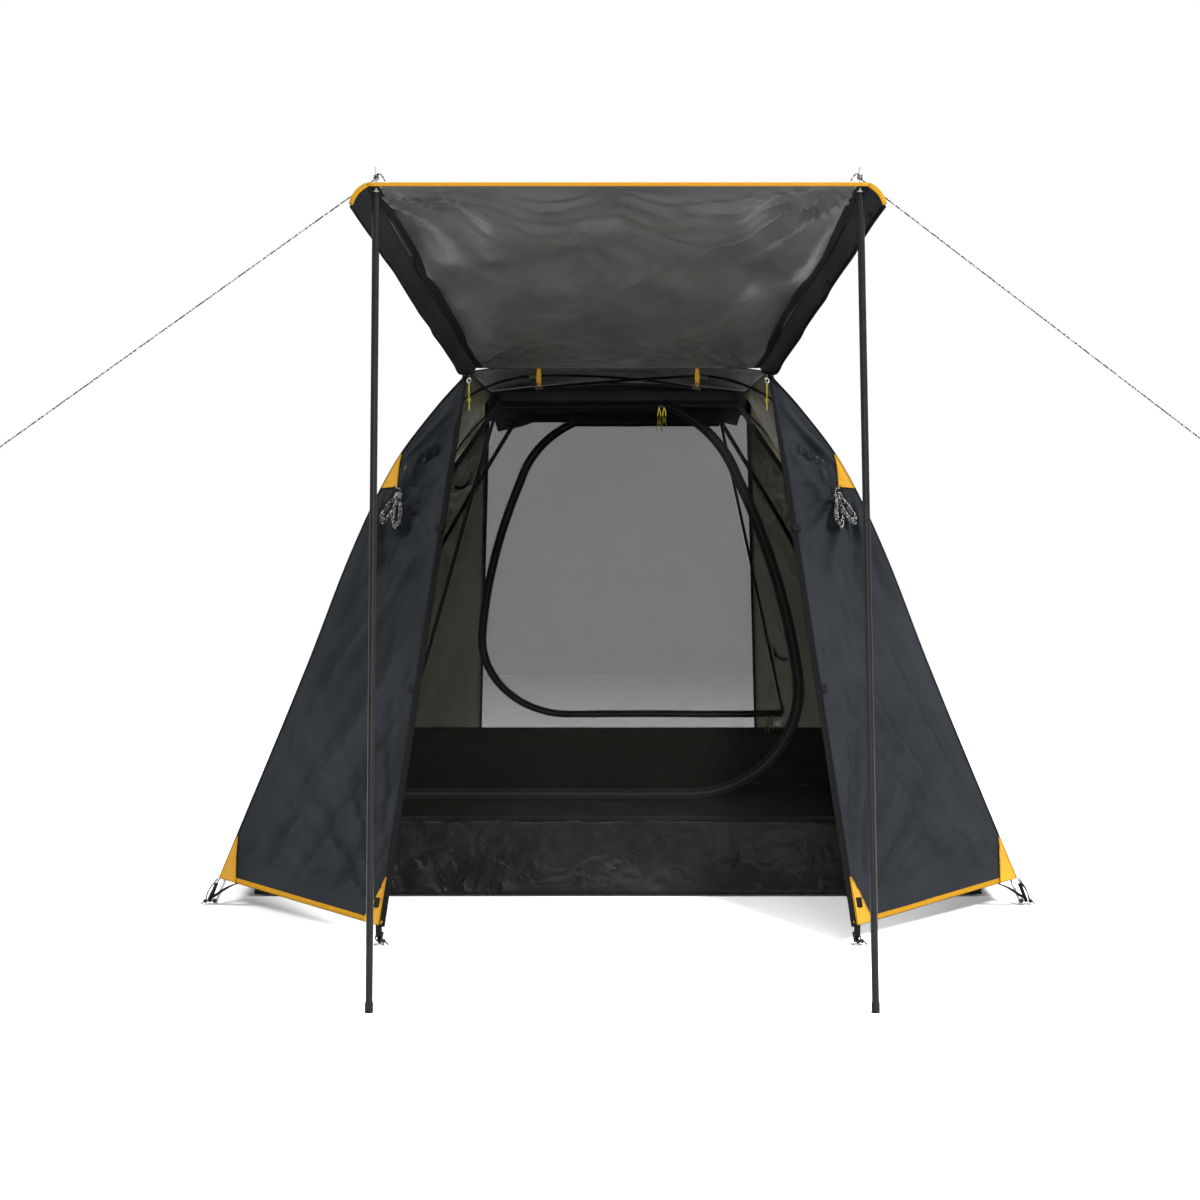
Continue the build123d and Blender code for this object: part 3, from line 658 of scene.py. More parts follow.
bindings = [
    hem_binding(tag, lambda u, v: vestibule_point(side, end, u, v), 40, 0.0045, 0.013, 0.0020)
    for tag, side, end in QUARTERS
]
for name, side in SIDES.items():
    hem_binding(f"side_{name}", lambda u, v: side_point(side, u, v), 80, 0.003, 0.012, 0.0016)
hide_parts("hem_binding")


def patch(name, fn, corners, node_name=None):
    """A triangular cloth patch over a panel. corners are (u, v), the first at the square corner."""
    a, b, c = (Vector(k) for k in corners)

    def point(s, t):
        q = a + (b - a) * t + (c - a) * s * (1 - t)
        return fn(q.x, q.y, 0.0042)

    piece = panel(name, point, 26, 34, (0.08, 0.11), [PATCH], thick=0.0008)
    for tag, s in (("a", 0), ("b", 1)):
        line = [point(s, k / 12) for k in range(12)] + [point(s, 0.98)]
        ribbon(f"{name}_stitch_{tag}", line, [point(0.5, 0.3) - p for p in line], 0.004, BINDING, rise=0.0009)
    if node_name:
        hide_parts(node_name)
    return piece


for tag, side, end in QUARTERS:
    first = tag == "front_left"
    for kind, corners in (
        ("corner", ((0.01, 0.0), (0.01, 0.075), (0.115, 0.0))),
        ("stake", ((0.99, 0.0), (0.99, 0.072), (0.90, 0.0))),
        ("guy", ((0.02, 0.745), (0.02, 0.817), (0.24, 0.748))),
    ):
        patch(
            f"{kind}_patch_{tag}", lambda u, v, lift: vestibule_point(side, end, u, v, lift), corners,
            f"{kind}_patches" if first else None,
        )


def ball(name, centre, radius):
    """A small knot: a lumpy ball."""
    steps = 9
    points, radii = [], []
    for k in range(steps + 1):
        a = math.pi * k / steps
        points.append(centre + Vector((0, 0, radius * math.cos(a))))
        radii.append(max(0.0002, radius * math.sin(a) * (1 + 0.12 * math.sin(5 * a))))
    return tube(name, points, radii, LOOP, sides=12)


RING_SHARE = 1.734 / math.hypot(*CORNER)    # diagonal distance of a peg ring over that of the corner
STAKE = (0.600, 1.826)
for tag, side, end in QUARTERS:
    ring = at(side * CORNER[0] * RING_SHARE, end * CORNER[1] * RING_SHARE, 0.010)
    out = Vector((side * CORNER[0], end * CORNER[1], 0)).normalized()
    tangent = Vector((-out.y, out.x, 0))
    start = vestibule_point(side, end, 0.115, 0.0) + Vector((0, 0, -0.001)) - out * 0.004
    line = curve_points([
        start, start.lerp(ring, 0.35) + Vector((0, 0, 0.006)), ring - out * 0.006 + Vector((0, 0, 0.008)),
    ], 8)
    ribbon(f"corner_webbing_{tag}", line, out, 0.020, WEBBING, rise=0.0016)
    high = ridge(side, end, HEM_Z) + out * 0.003
    for k, spread in enumerate((0.006, -0.002)):
        line = curve_points([
            high + tangent * spread, high.lerp(ring, 0.5) + out * (0.010 + 0.006 * k) + tangent * spread,
            ring + out * (0.008 + 0.004 * k),
        ], 8)
        tube(f"corner_loop_{tag}_{k}", line, 0.0017, LOOP, sides=8)
    ball(f"corner_knot_{tag}", ring + out * 0.012 + Vector((0, 0, 0.004)), 0.0058)
    beside = ring - out * 0.010 + tangent * 0.012 * side * end
    ball(f"webbing_knot_{tag}", beside + Vector((0, 0, 0.003)), 0.0065)
    line = [ring + out * far + Vector((0, 0, z)) for far, z in ((0.012, 0), (0.018, 0.003), (0.026, -0.003))]
    tube(f"corner_tail_{tag}", curve_points(line, 5), 0.0019, LOOP, sides=8)
    foot = vestibule_point(side, end, 0.985, 0.002)
    stake = at(side * STAKE[0], end * STAKE[1], 0.008)
    line = curve_points([foot, foot.lerp(stake, 0.5), stake.lerp(foot, 0.30)], 6)
    ribbon(f"stake_webbing_{tag}", line, RIGHT, 0.016, WEBBING, rise=0.0018)
    for k, spread in enumerate((-0.006, 0.006)):
        line = curve_points([
            stake.lerp(foot, 0.42) + Vector((spread, 0, 0.002)),
            stake.lerp(foot, 0.2) + Vector((spread * 1.3, end * 0.006, 0.002)),
            stake + Vector((0.002, end * 0.006, 0)),
        ], 6)
        tube(f"stake_loop_{tag}_{k}", line, 0.0019, LOOP, sides=8)
    ball(f"stake_knot_{tag}", stake + Vector((0.012, end * 0.008, 0.006)), 0.0055)
    line = [
        stake + Vector((x, end * y, z))
        for x, y, z in ((0.004, 0.006, 0.002), (0.014, 0.010, 0.006), (0.025, 0.010, -0.003))
    ]
    tube(f"stake_tail_{tag}", curve_points(line, 5), 0.0019, LOOP, sides=8)

# Hook-tape tabs on the door edges.
for name, side in SIDES.items():
    for k, v in enumerate((0.025, 0.365, 0.66)):
        points = [vestibule_point(side, -1, 0.975, v + 0.014 * j / 6, 0.0045) for j in range(7)]
        ribbon(f"door_tab_{name}_{k}", points, RIGHT, 0.026, HOOK_TAPE, rise=0.0022)

# ---- raised door -------------------------------------------------------------------------
AWNING_LENGTH = math.hypot(AWNING_FRONT[0] - AWNING_BACK[0], AWNING_FRONT[1] - AWNING_BACK[1])
AWNING_ALONG = Vector((0, AWNING_BACK[0] - AWNING_FRONT[0], AWNING_FRONT[1] - AWNING_BACK[1])).normalized()
AWNING_UP = Vector((0, AWNING_ALONG.z, -AWNING_ALONG.y))


def awning_point(u, v, lift=0.0):
    half = lerp(AWNING_HALF[0], AWNING_HALF[1], v)
    s = 2 * u - 1
    base = at(0, -AWNING_BACK[0], AWNING_BACK[1]) + AWNING_ALONG * (v * AWNING_LENGTH)
    x, y = s * half, v * AWNING_LENGTH
    edge = smooth((1 - abs(s)) / 0.06) * smooth(min(v, 1 - v) / 0.06)
    sag = -0.022 * (1 - s * s) * math.sin(math.pi * v) * smooth(v / 0.12)
    fold = 0.011 * math.sin(11 * x + 4.2 * y + 2.4 * rough((x, y, 0), 1.6)) * math.exp(-1.6 * (1 - v))
    fold += 0.013 * math.sin(15 * x - 6 * y + 3 * rough((x, y, 4), 1.3))
    fold += 0.014 * rough((x * 9 + y * 2, y * 3 - x * 2, 7), 1.0)
    fold += 0.003 * rough((x * 22 - y * 6, y * 9, 9), 1.0)
    for c in (-half, half):
        fold += fan((x, y), (c, AWNING_LENGTH), 22, 0.55, 0.011)
        fold += fan((x, y), (c, 0.0), 18, 0.40, 0.008)
    return base + Vector((x, 0, 0)) + AWNING_UP * (fold * edge + sag * smooth((1 - abs(s)) / 0.2) + lift)


awning = panel(
    "awning_cloth", awning_point, 70, 130, (1.0, AWNING_LENGTH), [FLY_OUT, AWNING_IN], "awning",
    away=at(0, -1.5, 0.5),
)
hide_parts("awning_panel")
front_points = [awning_point(k / 60, 1.0) + AWNING_ALONG * 0.002 for k in range(61)]
front_binding = ribbon(
    "awning_front_binding", front_points, AWNING_UP * -1 + AWNING_ALONG * 0.2, 0.009, BINDING, "awning",
    0.0022,
)
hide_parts("awning_binding")


def valance_point(u, v):
    """The sewn allowance from the front roof edge down to the raised door's rear edge."""
    x = lerp(-0.476, 0.476, u)
    high = roof_point(0.5 + 0.5 * x / EAVE_X, 0.012) + Vector((0, 0, -0.0015))
    drop = 0.0012 + 0.0055 * smooth((abs(x) - 0.37) / 0.06)
    low = awning_point(0.5 + 0.5 * x / 0.476, 0.0) + Vector((x * 0.06, 0.002, -drop))
    return high.lerp(low, v)


panel("front_valance", valance_point, 60, 5, (0.92, 0.03), [FLY_OUT, ROOF_IN], away=at(0, 0, 1.5))


for name, side in SIDES.items():
    def flap_point(u, v, lift=0.0):
        t = lerp(0.004, 1.0, v)
        top = awning_point(0.5 + side * 0.5, t) + Vector((side * 0.001, 0, -0.001))
        hang = Vector((side * FLAP_DROP[0], 0, -FLAP_DROP[1]))
        hang *= smooth((t * AWNING_LENGTH + 0.02) / FLAP_START) * 0.75 + 0.25
        curl = 0.006 * math.sin(math.pi * u) + 0.004 * u * math.sin(v * 26 + 3 * rough((v * 5, 0, side), 1.0))
        curl *= smooth(t * AWNING_LENGTH / FLAP_START)
        return top + hang * u + Vector((side * 0.8, 0, 0.6)) * curl

    flap = panel(
        f"awning_flap_{name}", flap_point, 8, 90, (0.055, 1.8), [FLY_OUT, FLAP_IN], "awning",
        away=at(0, -1.5, 1.2),
    )
    points = [awning_point(0.5 + side * 0.497, k / 80, 0.001) for k in range(81)]
    ribbon(f"awning_side_seam_{name}", points, RIGHT, 0.014, SEAM, "awning")
    points = [flap_point(1.0, k / 60) for k in range(61)]
    sides = [flap_point(0.8, k / 60) - points[k] for k in range(61)]
    ribbon(f"awning_flap_edge_{name}", points, sides, 0.012, ZIP_TAPE, "awning")
    points = [flap_point(k / 8, 1.0) + AWNING_ALONG * 0.002 for k in range(9)]
    ribbon(f"flap_front_binding_{name}", points, AWNING_UP * -1, 0.011, BINDING, "awning", 0.0020)
    points = [awning_point(0.5 + side * 0.488, 0.012 + 0.988 * k / 80, -0.003) for k in range(81)]
    ribbon(f"awning_side_zip_{name}", points, RIGHT, 0.022, ZIP_TAPE, "awning", -0.0014)
    for k, v in enumerate((0.30, 0.62, 0.93)):
        points = [flap_point(0.8, v + 0.012 * j / 4) for j in range(5)]
        sides = flap_point(0.5, v) - flap_point(1.0, v)
        ribbon(f"flap_tab_{name}_{k}", points, sides, 0.024, HOOK_TAPE, "awning", 0.0024)
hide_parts("awning_flaps")
sheet(
    awning, (1.09, AWNING_LENGTH),
)

# ---- inner tent --------------------------------------------------------------------------
WALL_RISE, WALL_RUN = INNER_TOP - TUB_TOP[2], TUB_TOP[1] - INNER_TOP_Y
WALL_LENGTH = math.hypot(WALL_RISE, WALL_RUN)
DOOR_LOW_V, DOOR_HIGH_V = 0.080, 1.345
ARCS = [
    ((0.240, 0.080), (0.455, 0.200), (0.530, 0.440)),
    ((0.530, 0.440), (0.492, 0.690), (0.365, 1.106)),
    ((0.365, 1.106), (0.290, 1.244), (0.160, 1.345)),
]


def circle_of(a, b, c):
    """The centre and radius of the circle through three points."""
    (ax, ay), (bx, by), (cx, cy) = a, b, c
    d = 2 * (ax * (by - cy) + bx * (cy - ay) + cx * (ay - by))
    ux = ((ax**2 + ay**2) * (by - cy) + (bx**2 + by**2) * (cy - ay) + (cx**2 + cy**2) * (ay - by)) / d
    uy = ((ax**2 + ay**2) * (cx - bx) + (bx**2 + by**2) * (ax - cx) + (cx**2 + cy**2) * (bx - ax)) / d
    return ux, uy, math.hypot(ax - ux, ay - uy)


def zip_x(v):
    """How far across the D's zip is at a height up the wall."""
    v = max(DOOR_LOW_V, min(DOOR_HIGH_V, v))
    for arc in ARCS:
        if v <= arc[2][1] + 1e-9:
            cx, cy, r = circle_of(*arc)
            return cx + math.sqrt(max(0.0, r * r - (v - cy) ** 2))


def hinge_x(v):
    return lerp(-0.655, -0.376, (v - 0.075) / 1.270)


def wall_half(z):
    return table(INNER_W, z)


def end_wall_point(end, x, v, out=0.0):
    """A point on a flat end wall; x runs to the right as seen from outside, v up the slope."""
    z = TUB_TOP[2] + v * WALL_RISE / WALL_LENGTH
    y = TUB_TOP[1] - v * WALL_RUN / WALL_LENGTH
    ripple = 0.006 * rough((x * 2.5, v * 2.5, end), 1.0) + 0.002 * rough((x * 9, v * 9, end + 3), 1.0)
    span = wall_half(z)
    inside = smooth((span - abs(x)) / 0.08) * smooth(min(v, WALL_LENGTH - v) / 0.05)
    lean = Vector((0, end * WALL_RISE, WALL_RUN)).normalized()
    return at(-end * x, end * y, z) + lean * (ripple * inside + out)


def height_of(v):
    return TUB_TOP[2] + v * WALL_RISE / WALL_LENGTH


def half_at(v):
    """Half the width of an end wall, v up its slope."""
    return wall_half(height_of(v))


def eased(t):
    """Closer rows near the low end, where the zip turns quickly."""
    return t * t * 0.55 + t * 0.45


def rows(t):
    """Height up the wall of a row beside the door."""
    return lerp(DOOR_LOW_V, DOOR_HIGH_V, eased(t))


def door_outline():
    """The path of the door's zip, from the hinge's foot round to its top, as (x, v)."""
    outline = [(lerp(-0.655, 0.240, k / 40), 0.078) for k in range(40)]
    for arc in ARCS:
        cx, cy, r = circle_of(*arc)
        a0, a1 = (math.atan2(p[1] - cy, p[0] - cx) for p in (arc[0], arc[2]))
        angles = [lerp(a0, a1, k / 24) for k in range(24)]
        outline += [(cx + r * math.cos(a), cy + r * math.sin(a)) for a in angles]
    return outline + [(lerp(0.160, -0.376, k / 24), 1.345) for k in range(25)]


path = [Vector(p) for p in door_outline()]
normals = []
for k in range(len(path)):
    along = path[min(k + 1, len(path) - 1)] - path[max(k - 1, 0)]
    normals.append(Vector((along.y, -along.x)).normalized())
NET_THICK = 0.0003
for where, end in ENDS.items():
    def wall_at(x, v, out=0.0):
        return end_wall_point(end, x, v, out)

    def band(u, v, out=0.0):
        """A point on a level line over the wall's whole width."""
        return wall_at(lerp(-1, 1, u) * half_at(v), v, out)

    net_parts = [
        ("hinge_side", lambda u, t: wall_at(lerp(-half_at(rows(t)), hinge_x(rows(t)), u), rows(t)), 16, 60),
        ("zip_side", lambda u, t: wall_at(lerp(zip_x(rows(t)), half_at(rows(t)), u), rows(t)), 16, 60),
        ("low", lambda u, t: band(u, DOOR_LOW_V * t), 60, 4),
        ("high", lambda u, t: band(u, lerp(DOOR_HIGH_V, WALL_LENGTH, t)), 40, 4),
    ]
    for tag, fn, nu, nv in net_parts:
        piece = panel(
            f"net_{where}_{tag}", fn, nu, nv, (1.0, 1.3), [TRIM] if tag == "high" else [NET], "tent",
            NET_THICK, away=at(0, 0, 0.3),
        )
        if tag == "hinge_side":
            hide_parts(f"inner_wall_{where}")
            sheet(piece, (0.55, 1.35))
    door = panel(
        f"net_door_{where}",
        lambda u, t: wall_at(lerp(hinge_x(rows(t)) + 0.003, zip_x(rows(t)) - 0.003, u), rows(t)),
        44, 60, (1.1, 1.27), [NET], f"door_{where}", NET_THICK, away=at(0, 0, 0.3),
    )
    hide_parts(f"inner_door_{where}")
    sheet(door, (1.19, 1.28))
    for tag, shift, width, body, mat, rise in (
        ("wall", 0.009, 0.015, "tent", ZIP_TAPE, 0.0010),
        ("leaf", -0.009, 0.015, f"door_{where}", ZIP_TAPE, 0.0010),
        ("coil", 0.0, 0.005, "tent", COIL, 0.0018),
    ):
        points, across = [], []
        for p, n in zip(path, normals):
            place = p + n * shift
            points.append(wall_at(place.x, place.y, 0.0008))
            beyond = place + n * 0.01
            across.append(wall_at(beyond.x, beyond.y, 0.0008) - points[-1])
        ribbon(f"door_zip_{tag}_{where}", points, across, width, mat, body, rise)
    heights = [lerp(0.075, 1.345, k / 40) for k in range(41)]
    points = [wall_at(hinge_x(v) - 0.004, v, 0.0006) for v in heights]
    ribbon(f"door_hinge_tape_{where}", points, RIGHT, 0.012, TRIM, rise=0.0010)
    points = [band(k / 60, 0.004, 0.0006) for k in range(61)]
    ribbon(f"tub_top_tape_{where}", points, UP, 0.018, TRIM)
    half = wall_half(INNER_TOP - 0.02)
    points = [wall_at(lerp(-1, 1, k / 40) * half, WALL_LENGTH - 0.02, 0.001) for k in range(41)]
    ribbon(f"top_trim_{where}", points, UP, 0.052, TRIM)
    for name, side in SIDES.items():
        heights = [WALL_LENGTH * k / 50 for k in range(51)]
        points = [wall_at(-end * side * (half_at(v) - 0.004), v, 0.0008) for v in heights]
        ribbon(f"inner_corner_tape_{where}_{name}", points, RIGHT, 0.016, TRIM)


def inner_side_point(side, u, v):
    z = lerp(TUB_TOP[2], INNER_TOP, v)
    y = lerp(TUB_TOP[1], INNER_TOP_Y, v)
    sag = -0.020 * math.sin(math.pi * u) * math.sin(math.pi * v)
    sag += 0.004 * rough((u * 6, v * 4, side + 9), 1.0) * math.sin(math.pi * u)
    return at(side * (wall_half(z) + sag), lerp(-y, y, u), z)


for name, side in SIDES.items():
    piece = panel(
        f"net_side_{name}", lambda u, v: inner_side_point(side, u, v), 50, 40, (2.0, 1.42), [NET], "tent",
        NET_THICK,
    )
    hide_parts(f"inner_wall_{name}")
    sheet(piece, (2.30, 1.41))


def inner_roof_point(u, v):
    x, y = lerp(-0.360, 0.360, u), lerp(-INNER_TOP_Y, INNER_TOP_Y, v)
    ripple = 0.003 * rough((x * 5, y * 5, 1), 1.0) * math.sin(math.pi * v)
    return at(x, y, INNER_TOP + 0.028 * (1 - (x / 0.36) ** 2) + ripple)


piece = panel("net_roof", inner_roof_point, 24, 30, (0.72, 1.07), [NET], "tent", NET_THICK)
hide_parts("inner_roof")
sheet(piece, (0.73, 1.08))


def tub_ripple(p, seed):
    return 0.004 * rough(p, 6.0, seed) + 0.0025 * rough(p, 17.0, seed + 2) + 0.0012 * rough(p, 40.0, seed + 5)


def floor_point(u, v):
    x, y = lerp(-TUB_LOW[0], TUB_LOW[0], u), lerp(-TUB_LOW[1], TUB_LOW[1], v)
    edge = smooth(min(u, 1 - u, v, 1 - v) / 0.02)
    return at(x, y, 0.0075 + max(-0.0055, tub_ripple((x, y, 0), 1.0) * edge))


floor_cloth = panel(
    "tub_floor_cloth", floor_point, 130, 150, (2.06, 2.38), [TUB], "tent", 0.0006,
    away=at(0, 0, -1),
)
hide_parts("tub_floor")
sheet(floor_cloth, (2.07, 2.39))
for tag, a, b in (
    ("front", (-1, -1), (1, -1)), ("rear", (1, 1), (-1, 1)),
    ("left", (-1, 1), (-1, -1)), ("right", (1, -1), (1, 1)),
):
    def tub_wall_point(u, v):
        w, d = lerp(TUB_LOW[0], TUB_TOP[0], v), lerp(TUB_LOW[1], TUB_TOP[1], v)
        p = at(lerp(a[0], b[0], u) * w, lerp(a[1], b[1], u) * d, lerp(TUB_LOW[2] + 0.003, TUB_TOP[2], v))
        out = Vector((a[0] + b[0], a[1] + b[1], 0)).normalized()
        hold = smooth(min(u, 1 - u) / 0.01) * smooth(v / 0.06)
        slump = -0.012 * math.sin(math.pi * v) + 1.6 * tub_ripple(p * 0.9, 4.0)
        slump += 0.004 * math.sin(u * 34 + 3 * rough((u * 6, v * 2, 3), 1.0)) * v
        return p + out * (slump * hold * smooth((1 - v) / 0.12))

    length = 2.0 * (TUB_TOP[0] if tag in ("front", "rear") else TUB_TOP[1])
    wall = panel(
        f"tub_wall_{tag}", tub_wall_point, 150, 18, (length, 0.21), [TUB], "tent", 0.0006,
        away=at(0, 0, 0.1),
    )
    sheet(wall, (length + 0.08, 0.225))
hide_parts("tub_walls")

# Door ties with their toggles, on the hinge seams.
for where, end in ENDS.items():
    for k, v in enumerate((0.36, 1.09)):
        base = end_wall_point(end, hinge_x(v) - 0.012, v, 0.004)
        base += Vector((0.010 * end, end * 0.003, 0))
        fall = [
            base + Vector((x * end, y * end, z)) for x, y, z in
            ((0, 0, 0), (0.012, 0, -0.018), (0.030, 0.004, -0.030), (0.052, 0.004, -0.026))
        ]
        ribbon(f"door_tie_{where}_{k}", curve_points(fall, 6), Vector((0, 0.3, 1)), 0.010, WEBBING)
        bar = [base + Vector((0, 0, 0.018)), base + Vector((0, 0, -0.018))]
        tube(f"door_toggle_{where}_{k}", bar, 0.0045, PLASTIC)


# ---- zip sliders, pulls and toggles ------------------------------------------------------
def pull_cord(name, top, length, body, spread=0.010, forward=0.005):
    """A doubled cord pull with an overhand knot, hanging from a slider."""
    for tag, rows_down in (
        ("a", ((-0.4, 0.8, 0.3), (-0.3, 1.0, 0.62), (-0.9, 1.0, 0.95))),
        ("b", ((0.5, 0.8, 0.3), (0.3, 1.0, 0.62), (1.0, 1.0, 1.0))),
    ):
        strand = [top] + [top + Vector((spread * x, -forward * y, -length * z)) for x, y, z in rows_down]
        tube(f"{name}_{tag}", curve_points(strand, 6), 0.0014, PULL, body, 8)
    middle = top + Vector((0, -forward, -length * 0.62))
    knot = []
    for k in range(40):
        a = 2 * math.pi * k / 40
        knot.append(middle + Vector((0.0040 * math.cos(a), 0.0040 * math.sin(a), 0.004 * math.sin(2 * a))))
    tube(f"{name}_knot", knot, 0.0020, PULL, body, 8, closed=True)


for name, side in SIDES.items():
    body = f"zip_slider_{name}"
    low, high = (Vector(c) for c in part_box(body))
    centre = door_edge(side, -1, 1.500) - Vector((side * 0.015, 0, 0))
    along = (door_edge(side, -1, 0.1) - door_edge(side, -1, 1.5)).normalized()
    ring = [centre + along * (0.010 * math.cos(a)) + Vector((0.006 * math.sin(a), -0.006, 0)) for a in
            (2 * math.pi * k / 20 for k in range(20))]
    plate = [centre + along * s for s in (-0.009, -0.006, 0.0, 0.006, 0.009)]
    slider = ribbon(f"outer_slider_{name}", plate, RIGHT, 0.011, PLASTIC, body, 0.0045)
    tube(f"outer_slider_ring_{name}", ring, 0.0012, STEEL, body, 8, closed=True)
    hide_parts(body)
    top = Vector((centre.x, (low.y + high.y) / 2, centre.z - 0.006))
    pull_cord(f"outer_pull_{name}", top, 0.088, body, 0.0014, 0.0)
for where, end in ENDS.items():
    x, v = (0.135, 1.345) if where == "front" else (-0.60, 0.080)
    centre = end_wall_point(end, x, v, 0.004)
    step = Vector((0.009, 0, 0))
    ribbon(f"inner_slider_{where}", [centre - step, centre, centre + step], UP, 0.011, PLASTIC, rise=0.0045)
    pull_cord(f"inner_pull_a_{where}", centre + Vector((-0.006, end * 0.004, -0.004)), 0.078, "tent")
    pull_cord(f"inner_pull_b_{where}", centre + Vector((0.010, end * 0.004, -0.004)), 0.066, "tent")

for name, side in SIDES.items():
    body = f"tie_toggle_{name}"
    low, high = (Vector(c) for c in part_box(body))
    middle = (low + high) / 2
    half = (high.z - low.z) / 2
    loop = []
    for k in range(36):
        a = 2 * math.pi * k / 36
        loop.append(middle + Vector((0.0060 * math.sin(a), 0, (half - 0.005) * math.cos(a) - 0.002)))
    toggle = tube(f"toggle_loop_{name}", loop, 0.0019, PATCH, body, 8, closed=True)
    points = [middle + Vector((0, 0, half * s)) for s in (-0.55, -0.3, 0.0, 0.3, 0.6, 0.9)]
    ribbon(f"toggle_strap_{name}", points, RIGHT, 0.013, PATCH, body, 0.0014)
    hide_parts(body)

# ---- rear door roll ----------------------------------------------------------------------
ROLL_Y, ROLL_R = 0.612, 0.038
roll_line = curve_points([at(x, ROLL_Y, z) for x, z in (
    (-0.452, 1.402), (-0.350, 1.434), (-0.255, 1.470), (-0.120, 1.494), (0.0, 1.498), (0.120, 1.494),
    (0.255, 1.480), (0.345, 1.456), (0.448, 1.424))], 12)


def door_head_point(u, v):
    """The short unrolled piece of the rear door, from the roof edge down to the roll."""
    x = lerp(-0.484, 0.484, u)
    high = roof_point(0.5 + 0.5 * x / EAVE_X, 0.975) + Vector((0, 0, -0.0015))
    k = min(max(x, -0.448), 0.448)
    past = 0.075 * (abs(x) - 0.448 if abs(x) > 0.448 else 0)
    low = min(roll_line, key=lambda p: abs(p.x - k)) + Vector((x - k, 0.014 - past, 0.022))
    p = high.lerp(low, v)
    return p + Vector((0, 0.010 * math.sin(math.pi * v) + 0.004 * rough((x * 12, v, 3), 1.0) * v, 0))


panel("rear_door_head", door_head_point, 60, 8, (0.94, 0.06), [FLY_OUT, ROOF_IN], away=at(0, 0, 1.5))
TIES = (-0.250, 0.250)


def roll_point(u, v):
    """u goes round the roll in 1.6 turns of cloth, v along it."""
    k = v * (len(roll_line) - 1)
    i = min(int(k), len(roll_line) - 2)
    p = roll_line[i].lerp(roll_line[i + 1], k - i)
    along = (roll_line[i + 1] - roll_line[i]).normalized()
    up = Vector((0, 0, 1)) - along * along.z
    up.normalize()
    across = along.cross(up)
    a = 2 * math.pi * u * 1.6
    pinch = 1.0 - 0.32 * max(math.exp(-(((p.x - t) / 0.030) ** 2)) for t in TIES)
    r = lerp(ROLL_R, ROLL_R * 0.72, u) * pinch * (1 - 0.25 * smooth((abs(p.x) - 0.36) / 0.09))
    r *= 1 + 0.10 * rough((u * 9, p.x * 7, 2), 1.0) + 0.05 * math.sin(7 * a + 9 * p.x)
    sag = 0.88 + 0.12 * math.sin(a)
    return p + (across * math.cos(a) + up * (math.sin(a) * sag)) * r


roll = panel(
    "rear_door_rolled", roll_point, 90, 110, (0.42, 0.95), [FLY_OUT, FLY_IN], thick=0.0009,
    away=at(0, ROLL_Y, 1.48),
)
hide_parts("rear_door_roll")
for k, x in enumerate(TIES):
    middle = min(roll_line, key=lambda p: abs(p.x - x))
    angles = [2 * math.pi * j / 30 for j in range(30)]
    ring = [
        middle + Vector((0.004 * math.sin(3 * a), 0.031 * math.cos(a), 0.031 * math.sin(a) + 0.004))
        for a in angles
    ]
    tube(f"roll_tie_{k}", ring, 0.0035, WEBBING, sides=8, closed=True)
    bar = [middle + Vector((-0.018, 0.034, -0.018)), middle + Vector((0.018, 0.034, -0.018))]
    tube(f"roll_toggle_{k}", bar, 0.0045, PLASTIC)

# ---- CAD pieces that keep their shape ----------------------------------------------------
for end_name in ("front_left", "front_right", "rear_left", "rear_right"):
    repaint(f"pole_leg_{end_name}", POLE)
for piece_name, made in {
    "pole_shoulders": POLE, "pole_roof_a": POLE, "pole_roof_b": POLE, "pole_ferrules": STEEL,
    "pole_tips": STEEL, "peg_rings": STEEL, "apex_clip": PLASTIC, "pole_clips": PLASTIC,
    "pegging_straps": WEBBING, "awning_grommets": STEEL,
}.items():
    repaint(piece_name, made)
for name in SIDES:
    for part in ("lower", "middle", "upper"):
        repaint(f"upright_{name}_{part}", TUBE)
    repaint(f"upright_{name}_spike", STEEL)
    repaint(f"upright_{name}_foot", RUBBER)

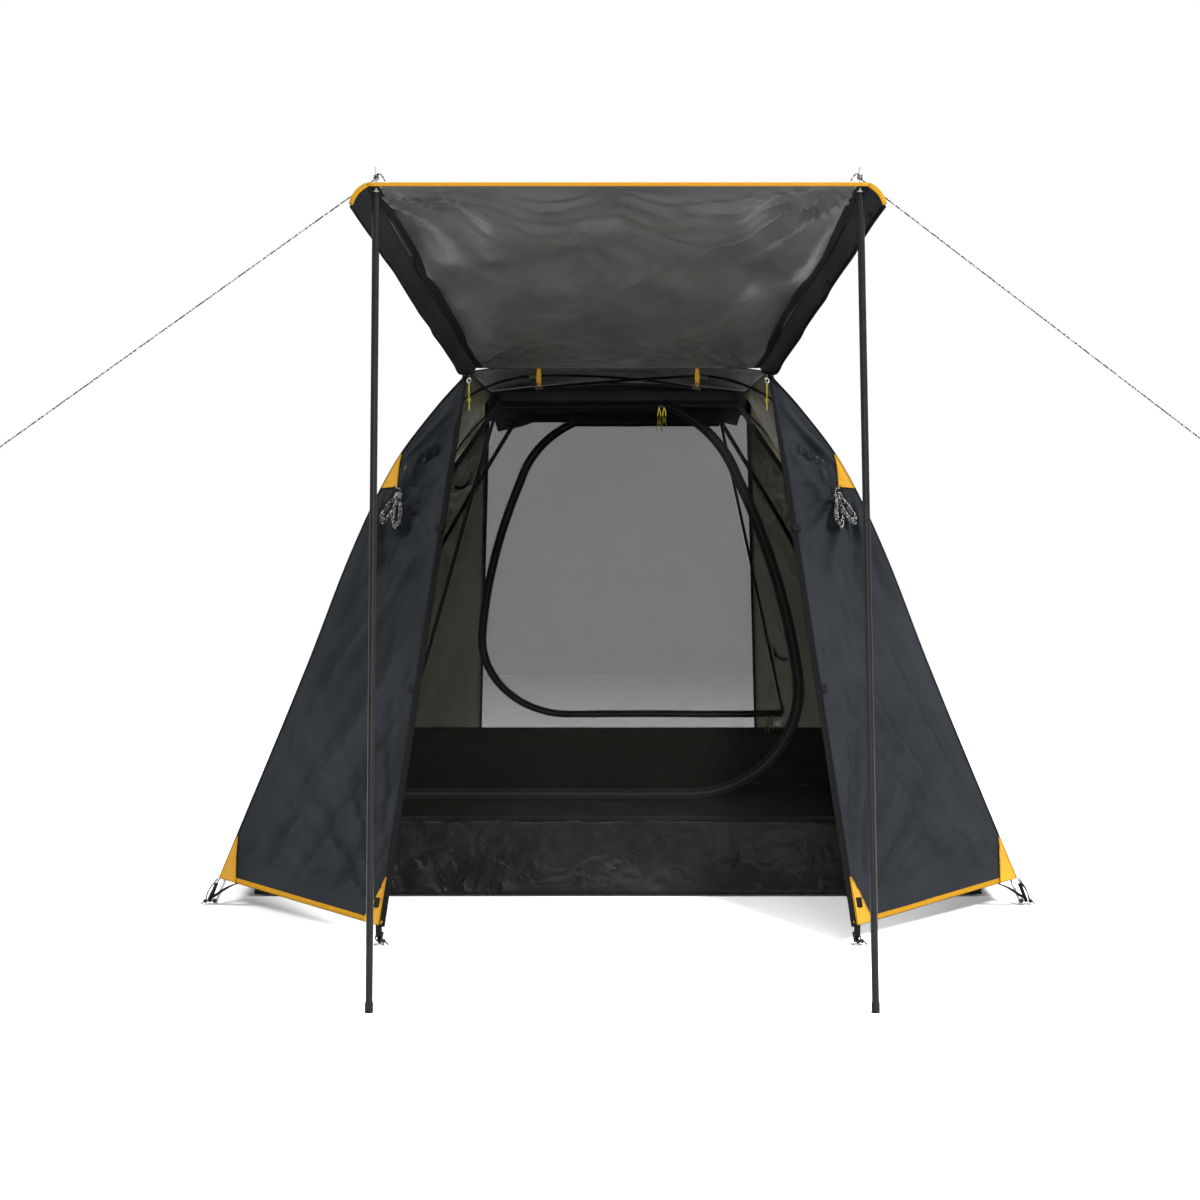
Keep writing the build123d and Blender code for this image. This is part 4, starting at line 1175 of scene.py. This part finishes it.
# ---- wound guy cords ---------------------------------------------------------------------
for name, side in SIDES.items():
    low, high = (Vector(c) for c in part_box(f"guy_hank_{name}"))
    middle = (low + high) / 2 + Vector((-side * 0.020, -0.004, 0))
    down = (vestibule_point(side, -1, 0.2, 0.60) - vestibule_point(side, -1, 0.2, 0.72)).normalized()
    across = (vestibule_point(side, -1, 0.5, 0.69) - vestibule_point(side, -1, 0.1, 0.69)).normalized()
    across = (across - down * across.dot(down)).normalized()
    outward = down.cross(across)
    if outward.y > 0:
        outward = -outward
    tall, wide = (high.z - low.z) / 2 / abs(down.z) * 0.90, 0.034
    knot_at = middle - down * tall
    controls, turns = [], 9
    for turn in range(turns):
        layer = turn / (turns - 1)
        for s in (-1, 1):
            reach = tall * (1.98 - 0.42 * ((turn * 0.37 + 0.2 * s) % 1))
            belly = 0.0075 + 0.0125 * ((turn * 0.61 + 0.3 * s) % 1)
            for k in range(12):
                a = 2 * math.pi * k / 12
                drop = (1 - math.cos(a)) / 2
                shift = s * wide * 0.62 * drop + s * belly * math.sin(a) * (0.35 + 0.65 * drop)
                depth = lerp(-0.0080, 0.0080, layer) + 0.0022 * math.sin(a) * s
                controls.append(knot_at + down * (0.006 + reach * drop) + across * shift + outward * depth)
    for k in range(4 * 12):
        a = 2 * math.pi * k / 12
        beside = knot_at + down * (0.004 + 0.0036 * k / 12) + across * (0.0105 * math.cos(a))
        controls.append(beside + outward * (0.0100 * math.sin(a)))
    eye = vestibule_point(side, -1, 0.20, 0.750, 0.006)
    controls += [knot_at + outward * 0.004 - down * 0.010, eye.lerp(knot_at, 0.4) + outward * 0.003, eye]
    hank = tube(f"guy_hank_cord_{name}", curve_points(controls, 3), 0.0017, GUY, sides=8)
    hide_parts(f"guy_hank_{name}")

# ---- floor and light ---------------------------------------------------------------------
bpy.ops.mesh.primitive_plane_add(size=60, location=(0, 0, 0))
floor = bpy.context.object
floor.name = "ground"
ground = material("pale floor", (0.86, 0.86, 0.86), 0.8)
ground_uv = node(ground, "TexCoord")
reach = node(ground, "VectorMath", operation="LENGTH")
link(ground, ground_uv.outputs["Object"], reach.inputs[0])
fade = node(
    ground, "MapRange", From_Min=3.2, From_Max=8.5, To_Min=1.0, To_Max=0.0,
    interpolation_type="SMOOTHSTEP",
)
link(ground, reach.outputs["Value"], fade.inputs["Value"])
link(ground, fade.outputs["Result"], shader_input(ground, "Alpha"))
floor.data.materials.append(ground)

world = bpy.data.worlds.new("studio")
bpy.context.scene.world = world
world.use_nodes = True
world.node_tree.nodes["Background"].inputs["Color"].default_value = (1, 1, 1, 1)
world.node_tree.nodes["Background"].inputs["Strength"].default_value = 1.0


def area_light(name, place, target, size, power):
    lamp = bpy.data.lights.new(name, "AREA")
    lamp.shape, lamp.size, lamp.energy = "SQUARE", size, power
    thing = bpy.data.objects.new(name, lamp)
    bpy.context.collection.objects.link(thing)
    thing.location = place
    thing.rotation_mode = "QUATERNION"
    thing.rotation_quaternion = (Vector(target) - Vector(place)).to_track_quat("-Z", "Y")


area_light("key", (4.6, -4.4, 5.2), (0, -0.4, 0.8), 1.5, 1150)
area_light("fill", (-4.6, -3.8, 5.4), (0, -0.4, 0.8), 2.2, 480)
area_light("low", (0.5, -6.0, 0.5), (0, 0, 1.2), 2.0, 110)
area_light("top", (0, 0.5, 6.0), (0, 0.3, 0), 4.0, 200)

bpy.context.scene.view_settings.view_transform = "Standard"
